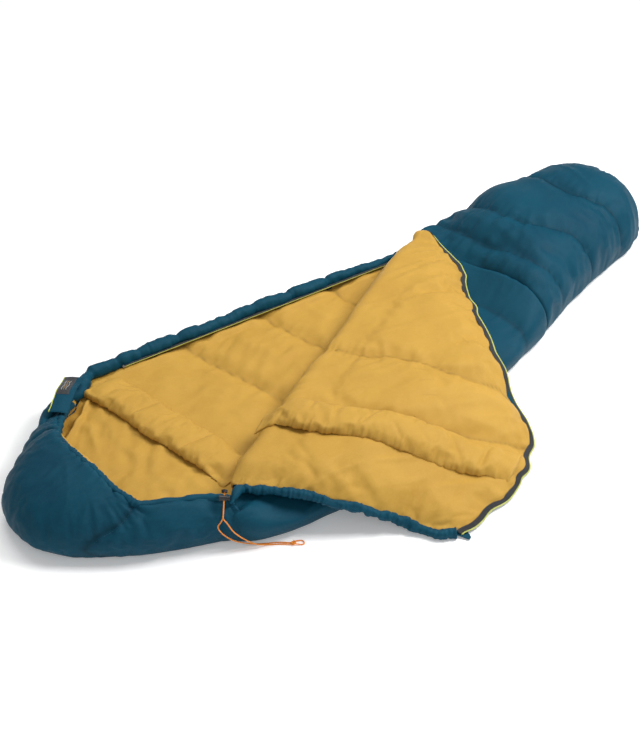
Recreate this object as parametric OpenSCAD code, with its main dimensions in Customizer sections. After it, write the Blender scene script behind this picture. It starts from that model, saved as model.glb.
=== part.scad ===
// Mummy sleeping bag, laid out with its front panel folded open.
// Millimetres. +X runs from the hood to the foot, +Z is up, the base panel rests on z = 0.

/* [Bag] */
// Length from the top of the hood to the end of the foot
bag_len = 2100; // [1900:10:2250]
// Width across the shoulders
shoulder_w = 820; // [700:10:900]
// Width where the foot starts to round off
foot_w = 370; // [280:10:420]
// Height of the hood's crown above the floor
hood_h = 158; // [120:1:200]
// Height of the foot's crown above the floor
foot_h = 195; // [150:1:240]
// Height of the side seam above the floor
seam_h = 45; // [30:1:60]
// Loft of the back panel at its middle
back_loft = 50; // [46:1:60]
// Thickness of the outer shell and of the lining
skin = 2; // [1:0.5:3]
// Thickness of the filled panel that makes the hood and the foot
pad = 24; // [15:1:30]

/* [Front panel] */
// Height of the fold line that the open front panel turns on
fold_z = 96; // [85:1:110]
// Loft of the front panel
front_loft = 34; // [20:1:36]
// Loft of the front panel at its sewn edges
edge_loft = 10; // [8:1:16]
// Height of the folded-out panel where it lies on the floor
drape_z = 4; // [3:1:10]

/* [Zip] */
// Width of the zip tape that shows beside the coil
tape_w = 14; // [10:1:20]
// Radius of the zip coil
coil_r = 2; // [1.5:0.1:3]
// Height of the zip coil along the far edge
zip_z = 62; // [58:1:70]
// Travel of the slider along the far edge
slider_travel = 880; // [700:10:900]

/* [Drawcord] */
// Diameter of the hood drawcord
cord_d = 3; // [2:0.5:5]
// Outer radius of the cord lock's barrel
lock_r = 7; // [6:0.5:10]
// Travel of the cord lock's button
press_travel = 4; // [3:0.5:6]

/* [Hidden] */
shell_blue = [0.03, 0.20, 0.27];
lining_gold = [0.80, 0.60, 0.22];
fill_white = [0.93, 0.93, 0.90];
tape_grey = [0.12, 0.13, 0.14];
coil_lime = [0.62, 0.66, 0.16];
trim_black = [0.04, 0.04, 0.05];
cord_orange = [0.92, 0.42, 0.08];
metal_grey = [0.55, 0.56, 0.58];

// Outline stations along the bag
head_x = -1022;
toe_x = head_x + bag_len;
middle_x = (head_x + toe_x) / 2;
shoulder_x = -400;
round_x = 930;
foot_x = 466;
neck_x = -620;
rim_crown_x = -835;
dome_x = -812;
tip = 0.02;

// Fold line, in plan
fold_y0 = 14;
fold_slope = 0.46;
fold_a = atan(fold_slope);
fold_dir = [cos(fold_a), sin(fold_a)];
fold_out = [sin(fold_a), -cos(fold_a)];
fold_end = 514;
fold_neck = -645;

// Far edge, a straight line in plan
edge_x = 440;
edge_y = 262;
edge_slope = 0.1165;
edge_neck_x = -590;
edge_a = 180 - atan(edge_slope);
roll_big = 20;
roll_small = 9;
coil_inset = 44;

// Cord lock
lock_at = [-645, -280, 118];
cord_tilt = 124.4;
cord_yaw = 226.7;
strand_gap = 3.6;
lock_start = 15;

// ---- Small helpers ----
function mix(a, b, t) = a + (b - a) * t;
function clamp01(t) = min(max(t, 0), 1);
function smooth(t) = let (c = clamp01(t)) c * c * (3 - 2 * c);
function unit(v) = v / norm(v);
function flat(rows) = [for (row = rows) each row];
function dome(v, p) = pow(max(0, 1 - pow(abs(v), p)), 1 / p);
function steps(n) = [for (i = [0:n]) i / n];

// ---- Outline of the bag at its side seam ----
function head_w(t) =
    sqrt(t) + 0.06 * smooth((t - 0.55) / 0.15) * (1 - smooth((t - 0.75) / 0.25));
function half_w(x) =
    x < shoulder_x
    ? shoulder_w / 2 * head_w((x - head_x) / (shoulder_x - head_x))
    : mix(shoulder_w, foot_w, (x - shoulder_x) / (round_x - shoulder_x)) / 2
        * dome(clamp01((x - round_x) / (toe_x - round_x)), 2.5);
function mid_y(x) = 50 * smooth((x - 300) / 500);
function edge_line(x) = edge_y + (edge_x - x) * edge_slope;
function half_at(x, v) =
    v > 0 && x < edge_x ? min(half_w(x), edge_line(x) + 5 - mid_y(x)) : half_w(x);
function station(t) = middle_x - (bag_len / 2 - tip) * cos(180 * t);

// A point in the bag's lower half: the outline scaled by kx and ky, at height z
function low_pt(x, v, kx, ky, z) =
    [middle_x + (x - middle_x) * kx, mid_y(x) + v * half_at(x, v) * ky, z];
function back_top(x, v) =
    back_loft - 8 * max(
        pow(abs(v), 3),
        1 - smooth((x - head_x) / 200),
        1 - smooth((toe_x - x) / 200)
    );

// ---- Upper surfaces, each a function of the inset t from the outer skin ----
function rim_x(v) =
    let (a = abs(v))
    v < 0
    ? min(neck_x, rim_crown_x + 40 * pow(a / 0.78, 4) + 175 * smooth((a - 0.72) / 0.12))
    : rim_crown_x + 200 * pow(a, 5);
function hood_top(x) = (hood_h - seam_h) * sqrt(1 - pow(1 - clamp01((x - head_x) / 210), 2));
function hood_pt(u, v, t) =
    let (x = mix(head_x + tip, rim_x(v), pow(u, 1.6)))
    [
        dome_x + (x - dome_x) * (1 - t / 210),
        v * half_at(x, v) * (1 - t / 275),
        seam_h + hood_top(x) * (1 - t / (hood_h - seam_h)) * dome(v, 2)
    ];

front_h = fold_z - 1.5 - seam_h;
function front_rise(x, y) = (foot_h - fold_z) * smooth((x - 0.49 * y - 395) / 250);
function foot_top(x, y) =
    (front_h + front_rise(x, y)) * dome(clamp01((x - round_x) / (toe_x - round_x)), 2.5);
function foot_pt(u, v, t) =
    let (
        x = mix(foot_x, toe_x - tip, 1 - pow(1 - u, 1.8)),
        y = mid_y(x) + v * half_w(x),
        p = v < 0 ? 2.4 : mix(6, 2.4, smooth((x - foot_x) / 200))
    )
    [
        foot_x + (x - foot_x) * (1 - t / 630),
        mid_y(x) + v * half_w(x) * (1 - t / 258),
        seam_h + foot_top(x, y) * (1 - t / (foot_h - seam_h)) * dome(v, p)
    ];

function fold_y(x) = fold_y0 + fold_slope * x;
function front_pt(u, w, t) =
    let (
        x = mix(neck_x + 18, foot_x, u),
        y0 = mid_y(x) - half_w(x),
        y = mix(y0, fold_y(x), w),
        v = (y - mid_y(x)) / half_w(x)
    )
    [
        x,
        y + t * pow(1 - w, 2),
        seam_h + (front_h - t + front_rise(x, y)) * (v < 0 ? dome(v, 2.4) : 1)
    ];

// ---- Folded-open front panel, in fold coordinates: s along the fold, m away from it ----
flap_width = [
    [-490, 485], [-415, 512], [-355, 535], [-265, 552], [-125, 540], [-45, 488],
    [35, 400], [170, 290], [280, 220], [415, 142], [fold_end, 15]
];
flap_neck = [[0, fold_neck], [215, -577], [360, -512], [445, -508], [485, -482]];
function plan(s, m) = [
    fold_dir.x * s + fold_out.x * m,
    fold_y0 + fold_dir.y * s + fold_out.y * m
];
function flap_s(a, f) = mix(lookup(f * 485, flap_neck), fold_end, a);
function flap_m(a, f) = f * lookup(flap_s(a, f), flap_width);
function drape(p) = smooth((mid_y(p.x) - half_w(p.x) - p.y + 60) / 260);
function flap_under(p) = mix(fold_z + 1.5 + front_rise(p.x, p.y), drape_z, drape(p));
function flap_loft(s, m) =
    let (
        zip_side = lookup(s, flap_width) - m,
        neck_side = s - lookup(m, flap_neck),
        edge = min(zip_side, neck_side, 0.6 * (fold_end - s))
    )
    mix(edge_loft, front_loft, smooth(edge / 70));
function flap_pt(s, m, k, t) =
    let (p = plan(s, m))
    [p.x, p.y, flap_under(p) + k * flap_loft(s, m) + t];
function flap_grid_pt(a, f, k, t) = flap_pt(flap_s(a, f), flap_m(a, f), k, t);
function zip_edge(a) = flap_grid_pt(a, 1, 0.5, 0);
function zip_out(a) =
    let (d = zip_edge(min(a + 0.02, 1)) - zip_edge(max(a - 0.02, 0)))
    unit([d.y, -d.x, 0]);

// ---- Solids made from grids of points ----
// A closed sheet between two grids of the same size; over lies on the side that
// rows x columns turns to by the right-hand rule.
module sheet_between(under, over) {
    rows = len(under);
    cols = len(under[0]);
    top = rows * cols;
    last_row = (rows - 1) * cols;
    skins = [
        for (i = [0:rows - 2], j = [0:cols - 2])
            let (a = i * cols + j, b = a + 1, c = a + cols + 1, d = a + cols)
            each [
                [a + top, b + top, c + top],
                [a + top, c + top, d + top],
                [a, c, b],
                [a, d, c]
            ]
    ];
    long_sides = [
        for (i = [0:rows - 2])
            let (a = i * cols, b = a + cols, c = a + cols - 1, d = b + cols - 1)
            each [[a + top, b + top, b], [a + top, b, a], [d + top, c + top, c], [d + top, c, d]]
    ];
    short_sides = [
        for (j = [0:cols - 2])
            let (c = last_row + j)
            each [
                [j + 1 + top, j + top, j],
                [j + 1 + top, j, j + 1],
                [c + top, c + 1 + top, c + 1],
                [c + top, c + 1, c]
            ]
    ];
    polyhedron(concat(flat(under), flat(over)), concat(skins, long_sides, short_sides));
}

// Frames along a path, each turned as little as possible from the one before
function tangent(path, i) = unit(path[min(i + 1, len(path) - 1)] - path[max(i - 1, 0)]);
function square_to(v, t) = unit(v - t * (v * t));
function sides_from(path, i, v) =
    i == len(path) ? [] : let (s = square_to(v, tangent(path, i))) concat([s], sides_from(path, i + 1, s));

// A round tube along a path, n sides, with one radius for each point
module tube(path, radii, n, side = [0.1, 0.2, 1]) {
    sides = sides_from(path, 0, side);
    rings = [
        for (i = [0:len(path) - 1])
            let (t = tangent(path, i), up = cross(t, sides[i]))
            for (k = [0:n - 1])
                path[i] + radii[i] * (sides[i] * cos(360 * k / n) + up * sin(360 * k / n))
    ];
    last = (len(path) - 1) * n;
    walls = [
        for (i = [0:len(path) - 2], k = [0:n - 1])
            let (a = i * n + k, b = i * n + (k + 1) % n)
            each [[a, a + n, b + n], [a, b + n, b]]
    ];
    caps = [for (k = [1:n - 2]) each [[0, k, k + 1], [last, last + k + 1, last + k]]];
    polyhedron(rings, concat(walls, caps));
}

// A smooth curve through hand-placed route points
function curve_pt(r, i, t) =
    let (
        p0 = r[max(i - 1, 0)],
        p1 = r[i],
        p2 = r[i + 1],
        p3 = r[min(i + 2, len(r) - 1)]
    )
    (2 * p1 + (p2 - p0) * t + (2 * p0 - 5 * p1 + 4 * p2 - p3) * t * t
        + (3 * p1 - p0 - 3 * p2 + p3) * t * t * t) / 2;
function curve(r, n) = concat(
    [for (i = [0:len(r) - 2], k = [0:n - 1]) curve_pt(r, i, k / n)],
    [r[len(r) - 1]]
);

// ---- Lower half ----
low_rows = steps(28);
low_cols = [for (t = steps(6)) -cos(180 * t)];

module base_panel() {
    far = [for (t = low_rows) low_pt(station(t), 1, 0.992, 0.97, 0)];
    near = [for (t = low_rows) low_pt(station(1 - t), -1, 0.992, 0.97, 0)];
    color(shell_blue)
    linear_extrude(skin)
    polygon([for (p = concat(far, near)) [p.x, p.y]]);
}

module side_panel(side) {
    outer = [
        for (t = low_rows) let (x = station(t))
            [low_pt(x, side, 1, 1, seam_h), low_pt(x, side, 0.992, 0.97, skin + 0.2)]
    ];
    inner = [
        for (t = low_rows) let (x = station(t))
            [low_pt(x, side, 0.998, 0.994, seam_h), low_pt(x, side, 0.99, 0.962, skin + 0.2)]
    ];
    if (side > 0) sheet_between(inner, outer);
    else sheet_between(outer, inner);
}

module side_panel_far() {
    color(shell_blue)
    side_panel(1);
}

module side_panel_near() {
    color(shell_blue)
    side_panel(-1);
}

module back_batting() {
    under = [
        for (t = low_rows)
            [for (v = low_cols) low_pt(station(t), v, 0.99, 0.962, skin + 0.2)]
    ];
    over = [
        for (t = low_rows)
            [for (v = low_cols) low_pt(station(t), v, 0.996, 0.985, back_top(station(t), v) - skin)]
    ];
    color(fill_white)
    sheet_between(under, over);
}

module back_lining() {
    under = [
        for (t = low_rows)
            [for (v = low_cols) low_pt(station(t), v, 0.996, 0.985, back_top(station(t), v) - skin)]
    ];
    over = [
        for (t = low_rows)
            [for (v = low_cols) low_pt(station(t), v, 0.996, 0.985, back_top(station(t), v))]
    ];
    color(lining_gold)
    sheet_between(under, over);
}

// ---- Far edge of the opening, with its half of the zip ----
module along_far_edge(inset, z, from_x) {
    translate([from_x, edge_line(from_x) - inset, z])
    rotate([0, 0, edge_a])
    children();
}

roll_rows = [for (t = steps(14)) mix(edge_x, edge_neck_x, t)];
roll_taper = 330;
roll_seam = 20;
function roll_r(x) = mix(roll_small, roll_big, clamp01((edge_x - x) / roll_taper));
function roll_pt(x, inset, turn) =
    let (r = roll_r(x))
    [
        x,
        edge_line(x) - roll_big + (r - inset) * cos(turn),
        back_loft - 1 + r + (r - inset) * sin(turn)
    ];

module far_edge_roll() {
    turns = [for (t = steps(14)) mix(roll_seam - 180, 180 - roll_seam, t)];
    color(shell_blue)
    sheet_between(
        [for (x = roll_rows) [for (a = turns) roll_pt(x, skin, a)]],
        [for (x = roll_rows) [for (a = turns) roll_pt(x, 0, a)]]
    );
}

module far_edge_fill() {
    path = [for (x = roll_rows) roll_pt(x, roll_r(x), 0)];
    color(fill_white)
    tube(path, [for (x = roll_rows) roll_r(x) - skin - 0.6], 14);
}

module zip_tape_back() {
    color(tape_grey)
    along_far_edge(coil_inset, zip_z, edge_x - 10)
    translate([0, -tape_w - coil_r, -0.6])
    cube([slider_travel + 55, tape_w, 1.2]);
}

module zip_coil_back() {
    color(coil_lime)
    along_far_edge(coil_inset, zip_z, edge_x - 10)
    rotate([0, 90, 0])
    cylinder(h = slider_travel + 55, r = coil_r, $fn = 24);
}

module zip_stop(from_x) {
    along_far_edge(coil_inset, zip_z, from_x)
    translate([0, -3, -3])
    cube([5, 6, 6]);
}

module zip_stop_bottom() {
    color(metal_grey)
    zip_stop(edge_x - 7);
}

module zip_stop_top() {
    color(metal_grey)
    zip_stop(edge_neck_x + 93);
}

// ---- Hood ----
hood_rows = steps(10);
hood_cols = [for (t = steps(18)) -cos(180 * t)];

module hood_layer(t_in, t_out) {
    sheet_between(
        [for (u = hood_rows) [for (v = hood_cols) hood_pt(u, v, t_in)]],
        [for (u = hood_rows) [for (v = hood_cols) hood_pt(u, v, t_out)]]
    );
}

module hood_shell() {
    color(shell_blue)
    hood_layer(skin, 0);
}

module hood_batting() {
    color(fill_white)
    hood_layer(pad - skin, skin);
}

module hood_lining() {
    color(lining_gold)
    hood_layer(pad, pad - skin);
}

module hood_hem() {
    hem_r = 9;
    path = [
        for (v = [for (t = steps(26)) mix(-0.84, 0.9, t)])
            hood_pt(1, v, pad / 2) + [hem_r - 2, 0, 0]
    ];
    color(shell_blue)
    tube(path, [for (p = path) hem_r], 10);
}

// ---- Near side of the front panel, which stays on the bag ----
front_rows = steps(20);
front_cols = [for (t = steps(8)) pow(t, 1.8)];

module front_layer(t_in, t_out) {
    sheet_between(
        [for (u = front_rows) [for (w = front_cols) front_pt(u, w, t_in)]],
        [for (u = front_rows) [for (w = front_cols) front_pt(u, w, t_out)]]
    );
}

module front_shell() {
    color(shell_blue)
    front_layer(skin, 0);
}

module front_batting() {
    color(fill_white)
    front_layer(front_loft - 1 - skin, skin);
}

module front_lining() {
    color(lining_gold)
    front_layer(front_loft - 1, front_loft - 1 - skin);
}

// ---- Foot ----
foot_rows = steps(14);
foot_body_rows = [for (i = [0:9]) foot_rows[i]];
foot_end_rows = [for (i = [9:14]) foot_rows[i]];
foot_cols = [for (t = steps(16)) -cos(180 * t)];

module foot_layer(t_in, t_out, rows) {
    sheet_between(
        [for (u = rows) [for (v = foot_cols) foot_pt(u, v, t_in)]],
        [for (u = rows) [for (v = foot_cols) foot_pt(u, v, t_out)]]
    );
}

module foot_shell() {
    color(shell_blue)
    foot_layer(skin, 0, foot_body_rows);
}

module foot_end_shell() {
    color(shell_blue)
    foot_layer(skin, 0, foot_end_rows);
}

module foot_batting() {
    color(fill_white)
    foot_layer(pad - skin, skin, foot_rows);
}

module foot_lining() {
    color(lining_gold)
    foot_layer(pad, pad - skin, foot_rows);
}

// ---- Rolled fold between the fixed front and the folded-open part ----
fold_turn = steps(10);

function fold_r(s) = mix(4, front_loft - 1, smooth((fold_end - s) / 160));
function fold_pt(s, k, turn) =
    let (r = k * fold_r(s), p = plan(s, -0.3 - r * sin(180 * turn)))
    [p.x, p.y, fold_z - r * cos(180 * turn)];

module fold_layer(k_in, k_out) {
    rows = [for (t = steps(16)) mix(fold_neck + 12, fold_end - 12, t)];
    sheet_between(
        [for (s = rows) [for (q = fold_turn) fold_pt(s, k_out, q)]],
        [for (s = rows) [for (q = fold_turn) fold_pt(s, k_in, q)]]
    );
}

module fold_batting() {
    color(fill_white)
    fold_layer(0.1, 0.94);
}

module fold_lining() {
    color(lining_gold)
    fold_layer(0.94, 1);
}

// ---- Draft collars ----
function bulge(q) = 0.06 + 0.94 * dome(q, 2);

module back_collar() {
    half = 58;
    rows = [for (t = steps(8)) mix(-1, 1, t)];
    cols = [for (t = steps(14)) mix(-195, 300, t)];
    function collar_x(q, y) = -546 - 0.12 * y + q * half;
    function collar_z(y) = mix(8, 29, smooth((y + 190) / 150));
    color(lining_gold)
    sheet_between(
        [for (q = rows) [for (y = cols) [collar_x(q, y), y, back_loft + 0.3]]],
        [for (q = rows) [for (y = cols) [collar_x(q, y), y, back_loft + 0.3 + collar_z(y) * bulge(q)]]]
    );
}

module front_collar() {
    half = 55;
    rows = [for (t = steps(8)) mix(-1, 1, t)];
    cols = [for (t = steps(14)) mix(20, 545, t)];
    function collar_s(q, m) = -395 + 160 * pow(m / 550, 1.5) + q * half;
    function collar_h(m) = mix(8, 26, smooth(m / 120));
    color(lining_gold)
    sheet_between(
        [for (m = cols) [for (q = rows) flap_pt(collar_s(q, m), m, 1, 0.3)]],
        [for (m = cols) [for (q = rows) flap_pt(collar_s(q, m), m, 1, 0.3 + collar_h(m) * bulge(q))]]
    );
}

// ---- Folded-open part of the front panel ----
flap_rows = steps(18);
flap_cols = steps(12);

module flap_layer(k_low, t_low, k_high, t_high) {
    sheet_between(
        [for (f = flap_cols) [for (a = flap_rows) flap_grid_pt(a, f, k_low, t_low)]],
        [for (f = flap_cols) [for (a = flap_rows) flap_grid_pt(a, f, k_high, t_high)]]
    );
}

module flap_shell() {
    color(shell_blue)
    flap_layer(0, 0, 0, skin);
}

module flap_batting() {
    color(fill_white)
    flap_layer(0, skin, 1, -skin);
}

module flap_lining() {
    color(lining_gold)
    flap_layer(1, -skin, 1, 0);
}

module flap_neck_hem() {
    hem_r = 6;
    path = [for (f = [for (t = steps(20)) mix(0.02, 0.97, t)])
        flap_grid_pt(0, f, 0.5, 0) - [fold_dir.x, fold_dir.y, 0] * (hem_r - 1)];
    color(shell_blue)
    tube(path, [for (p = path) hem_r], 10);
}

module flap_corner() {
    at = plan(-505, 487);
    color(shell_blue)
    translate([at.x, at.y, drape_z + 1])
    rotate([0, 0, fold_a])
    linear_extrude(skin + 2)
    polygon([[14, 0], [-34, -6], [-22, -34], [2, -40], [24, -22]]);
}

// ---- Zip along the free edge of the folded-out panel ----
zip_rows = [for (t = steps(32)) mix(0.02, 0.995, t)];

function tape_pt(a, reach, lift) = zip_edge(a) + zip_out(a) * reach + [0, 0, lift];

module zip_tape_front() {
    color(tape_grey)
    sheet_between(
        [for (r = [tape_w, -3]) [for (a = zip_rows) tape_pt(a, r, -0.6)]],
        [for (r = [tape_w, -3]) [for (a = zip_rows) tape_pt(a, r, 0.6)]]
    );
}

module zip_coil_front() {
    path = [for (a = zip_rows) tape_pt(a, tape_w, 0)];
    color(coil_lime)
    tube(path, [for (p = path) coil_r], 8);
}

// ---- Pocket sewn on the lining, open on the side that faces the neck ----
pocket_size = [110, 150];
pocket_gap = 5;
pocket_at = [-190, 218];
pocket_a = 147;

module pocket_bag() {
    wall = 1.2;
    at = plan(pocket_at.x, pocket_at.y);
    color(lining_gold)
    translate([at.x, at.y, fold_z + 1.5 + front_loft + 0.3])
    rotate([0, 0, pocket_a])
    difference() {
        translate([0, -pocket_size.y / 2, 0])
        cube([pocket_size.x, pocket_size.y, pocket_gap + 2 * wall]);
        translate([-wall, -pocket_size.y / 2 + wall, wall])
        cube([pocket_size.x, pocket_size.y - 2 * wall, pocket_gap]);
    }
}

// ---- Slider and its pull ----
slider_at = 40;
slider_len = 16;
lug_x = 3;
lug_z = 5.6;
pin_r = 0.9;

module on_coil() {
    along_far_edge(coil_inset, zip_z, edge_x - slider_at)
    children();
}

module zip_slider_body() {
    plate = 1.2;
    clear = 0.5;
    color(metal_grey)
    on_coil() {
        for (z = [coil_r + clear, -coil_r - clear - plate])
            translate([-slider_len / 2, -5, z])
            cube([slider_len, 12, plate]);
        translate([-slider_len / 2, coil_r + clear + 1, -coil_r - clear])
        cube([slider_len, 4 - clear, 2 * (coil_r + clear)]);
        for (y = [-4, 3])
            difference() {
                translate([lug_x - 2, y, coil_r + clear + plate])
                cube([4, 1.5, 4]);
                translate([lug_x, y - 1, lug_z])
                rotate([-90, 0, 0])
                cylinder(h = 4, r = pin_r, $fn = 24);
            }
        translate([lug_x, -4, lug_z])
        rotate([-90, 0, 0])
        cylinder(h = 8.5, r = pin_r, $fn = 24);
    }
}

module zip_slider_pull() {
    color(trim_black)
    on_coil()
    difference() {
        union() {
            translate([lug_x, -2, lug_z])
            rotate([-90, 0, 0])
            cylinder(h = 4.5, r = 1.8, $fn = 24);
            translate([lug_x - 30, -3.2, lug_z - 0.7])
            cube([26.8, 6.9, 1.4]);
            translate([lug_x - 3.4, -2, lug_z - 0.7])
            cube([3.4, 4.5, 1.4]);
        }
        translate([lug_x, -4, lug_z])
        rotate([-90, 0, 0])
        cylinder(h = 9, r = pin_r + 0.06, $fn = 24);
    }
}

// ---- Neck guard: the tab that covers the top of the zip ----
guard_at = [-760, 222, 116];
guard_len = 165;
guard_w = 46;
guard_a = 44;
guard_t = 5;

module on_guard(x, z) {
    translate(guard_at)
    rotate([0, 0, guard_a])
    translate([x, -guard_w / 2, z])
    children();
}

module zip_guard() {
    color(shell_blue)
    on_guard(0, 0)
    cube([guard_len, guard_w, guard_t]);
}

module zip_guard_label() {
    color(trim_black)
    on_guard(60, guard_t)
    translate([0, 5, 0])
    cube([98, guard_w - 10, 1]);
}

module zip_guard_hook_tape() {
    color(tape_grey)
    on_guard(guard_len - 55, -1.5)
    translate([0, 8, 0])
    cube([45, guard_w - 16, 1.5]);
}

// ---- Cord lock, in a frame with z along the cord and y out of the button ----
module on_cord(z) {
    translate(lock_at)
    rotate([0, cord_tilt, cord_yaw])
    translate([0, 0, z])
    children();
}

module across(r, y_from, y_to) {
    translate([0, y_from, 0])
    rotate([-90, 0, 0])
    cylinder(h = y_to - y_from, r = r, $fn = 48);
}

slot_w = strand_gap + cord_d + 1;
slot_h = cord_d + 1;
button_r = 4.8;

module cord_passage(x, y_len) {
    cube([x, y_len, 40], center = true);
}

module cord_eyelet() {
    color(trim_black)
    on_cord(-lock_start - 4)
    difference() {
        cylinder(h = 6, r = 7, $fn = 32);
        translate([0, 0, -1])
        cylinder(h = 8, r = 4.6, $fn = 32);
    }
}

module lock_barrel() {
    color(trim_black)
    on_cord(0)
    difference() {
        across(lock_r, -11, 6);
        across(button_r + 0.2, -9.5, 7);
        cord_passage(slot_w, slot_h);
    }
}

module lock_button() {
    color(trim_black)
    on_cord(0)
    difference() {
        union() {
            across(button_r, -3.5, 6 + press_travel);
            across(lock_r - 0.5, 6 + press_travel + 0.5, 6 + press_travel + 3);
            across(button_r - 0.5, 6 + press_travel, 6 + press_travel + 1);
        }
        translate([0, press_travel / 2, 0])
        cord_passage(slot_w, slot_h + press_travel);
    }
}

module lock_spring() {
    turns = 3;
    wire = 0.4;
    path = [
        for (t = steps(36))
            [3.6 * cos(360 * turns * t), mix(-9, -4, t), 3.6 * sin(360 * turns * t)]
    ];
    color(metal_grey)
    on_cord(0)
    tube(path, [for (p = path) wire], 6, [0, 1, 0.1]);
}

// ---- Hood drawcord: two strands from the hem, knotted together with a small loop ----
cord_down = [sin(cord_tilt) * cos(cord_yaw), sin(cord_tilt) * sin(cord_yaw), cos(cord_tilt)];
cord_side = [cos(cord_tilt) * cos(cord_yaw), cos(cord_tilt) * sin(cord_yaw), -sin(cord_tilt)];
strand_start = lock_at - cord_down * (lock_start + 4);
straight_part = [strand_start, lock_at, lock_at + cord_down * 34, lock_at + cord_down * 46];
route_a = [
    [-676, -306, 82], [-683, -303, 68], [-676, -312, 48], [-656, -326, 26],
    [-626, -342, 10], [-597, -357, 2.4], [-570, -374, 1.8], [-548, -397, 3.5]
];
route_b = [
    [-667, -317, 80], [-659, -329, 58], [-641, -342, 34], [-616, -356, 12],
    [-590, -367, 2.4], [-566, -385, 1.8], [-549, -402, 3.5]
];
loop_route = [
    [-546, -398, 4], [-534, -399, 2.4], [-523, -408, 2], [-529, -418, 2.4], [-545, -405, 4]
];
knot_at = [-545, -401, 4.8];
knot_r = 4.6;

module strand(k, route) {
    path = curve(concat([for (p = straight_part) p + cord_side * k], route), 5);
    color(cord_orange)
    tube(path, [for (p = path) cord_d / 2], 8, cord_side);
}

module drawcord_strand_a() {
    strand(-strand_gap / 2, route_a);
}

module drawcord_strand_b() {
    strand(strand_gap / 2, route_b);
}

module drawcord_loop() {
    path = curve(loop_route, 5);
    color(cord_orange)
    tube(path, [for (p = path) cord_d / 2], 8);
}

module drawcord_knot() {
    color(cord_orange)
    translate(knot_at)
    sphere(knot_r, $fn = 24);
}

base_panel();
side_panel_far();
side_panel_near();
back_batting();
back_lining();
far_edge_roll();
far_edge_fill();
hood_shell();
hood_batting();
hood_lining();
hood_hem();
front_shell();
front_batting();
front_lining();
foot_shell();
foot_end_shell();
foot_batting();
foot_lining();
fold_batting();
fold_lining();
back_collar();
zip_tape_back();
zip_coil_back();
zip_stop_bottom();
zip_stop_top();
flap_shell();
flap_batting();
flap_lining();
flap_neck_hem();
flap_corner();
front_collar();
pocket_bag();
zip_tape_front();
zip_coil_front();
zip_slider_body();
zip_slider_pull();
zip_guard();
zip_guard_label();
zip_guard_hook_tape();
cord_eyelet();
lock_barrel();
lock_spring();
lock_button();
drawcord_strand_a();
drawcord_strand_b();
drawcord_knot();
drawcord_loop();
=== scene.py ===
import math

import bmesh
import bpy
import numpy as np
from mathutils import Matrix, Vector


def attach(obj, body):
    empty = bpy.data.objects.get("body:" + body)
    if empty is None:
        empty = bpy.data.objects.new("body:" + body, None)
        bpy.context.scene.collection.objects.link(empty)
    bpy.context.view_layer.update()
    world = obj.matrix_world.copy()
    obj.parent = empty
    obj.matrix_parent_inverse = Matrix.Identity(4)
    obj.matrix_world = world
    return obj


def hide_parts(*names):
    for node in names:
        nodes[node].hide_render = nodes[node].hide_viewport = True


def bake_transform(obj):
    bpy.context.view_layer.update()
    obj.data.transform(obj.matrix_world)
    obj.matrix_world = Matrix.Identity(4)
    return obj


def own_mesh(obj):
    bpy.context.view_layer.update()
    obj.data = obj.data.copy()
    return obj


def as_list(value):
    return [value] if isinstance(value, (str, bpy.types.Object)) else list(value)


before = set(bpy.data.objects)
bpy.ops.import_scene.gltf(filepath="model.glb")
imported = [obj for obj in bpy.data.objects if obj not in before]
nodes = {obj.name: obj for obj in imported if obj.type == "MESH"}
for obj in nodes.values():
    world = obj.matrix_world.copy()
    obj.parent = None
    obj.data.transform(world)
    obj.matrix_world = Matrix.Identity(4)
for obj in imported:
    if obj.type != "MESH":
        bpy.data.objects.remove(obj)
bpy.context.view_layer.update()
scene = bpy.context.scene
MM = 0.001


# ---- Camera, at the photograph's viewing angle ----
CAMERA_AT = (-2.11, -2.30, 2.41)
CAMERA_DOWN, CAMERA_HEADING = 37.6, 49.1
LENS, SENSOR = 73.97, 36


def make_camera():
    data = bpy.data.cameras.new("camera")
    data.lens = LENS
    data.sensor_width = SENSOR
    data.clip_end = 50
    camera = bpy.data.objects.new("camera", data)
    scene.collection.objects.link(camera)
    camera.location = CAMERA_AT
    camera.rotation_euler = (math.radians(90 - CAMERA_DOWN), 0, math.radians(CAMERA_HEADING - 90))
    scene.camera = camera


make_camera()


# ---- Small helpers, in millimetres ----
def mix(a, b, t):
    return a + (b - a) * t


def clamp01(t):
    return np.clip(t, 0.0, 1.0)


def smooth(t):
    c = clamp01(t)
    return c * c * (3 - 2 * c)


def dome(v, p):
    return np.maximum(0, 1 - np.abs(v) ** p) ** (1.0 / p)


def lookup(x, table):
    t = np.array(table, float)
    return np.interp(x, t[:, 0], t[:, 1])


def bell(d, width):
    return np.exp(-((d / width) ** 2))


def unit(v):
    return v / np.maximum(np.linalg.norm(v, axis=-1, keepdims=True), 1e-9)


def stack(*parts):
    return np.stack(np.broadcast_arrays(*parts), -1)


def grid(a, b):
    return np.meshgrid(a, b, indexing="ij")


def raised(xy, z):
    """Plan points with their heights."""
    return np.concatenate([xy, z[..., None]], -1)


def turns(n):
    """The angles of n even steps round a circle."""
    return 2 * math.pi * np.arange(n) / n


def lengths(path):
    """How far along a path each of its points is."""
    return np.concatenate([[0], np.cumsum(np.linalg.norm(np.diff(path, axis=0), axis=1))])


CELLS = 64
LATTICE = np.random.default_rng(11).random((CELLS, CELLS)) * 2 - 1


def noise(x, y):
    """Smooth noise from -1 to 1, one cell for each unit."""
    x, y = np.broadcast_arrays(np.asarray(x, float), np.asarray(y, float))
    i, j = np.floor(x).astype(int), np.floor(y).astype(int)
    fx, fy = smooth(x - i), smooth(y - j)

    def at(a, b):
        return LATTICE[(i + a) % CELLS, (j + b) % CELLS]

    return mix(mix(at(0, 0), at(1, 0), fx), mix(at(0, 1), at(1, 1), fx), fy)


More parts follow.
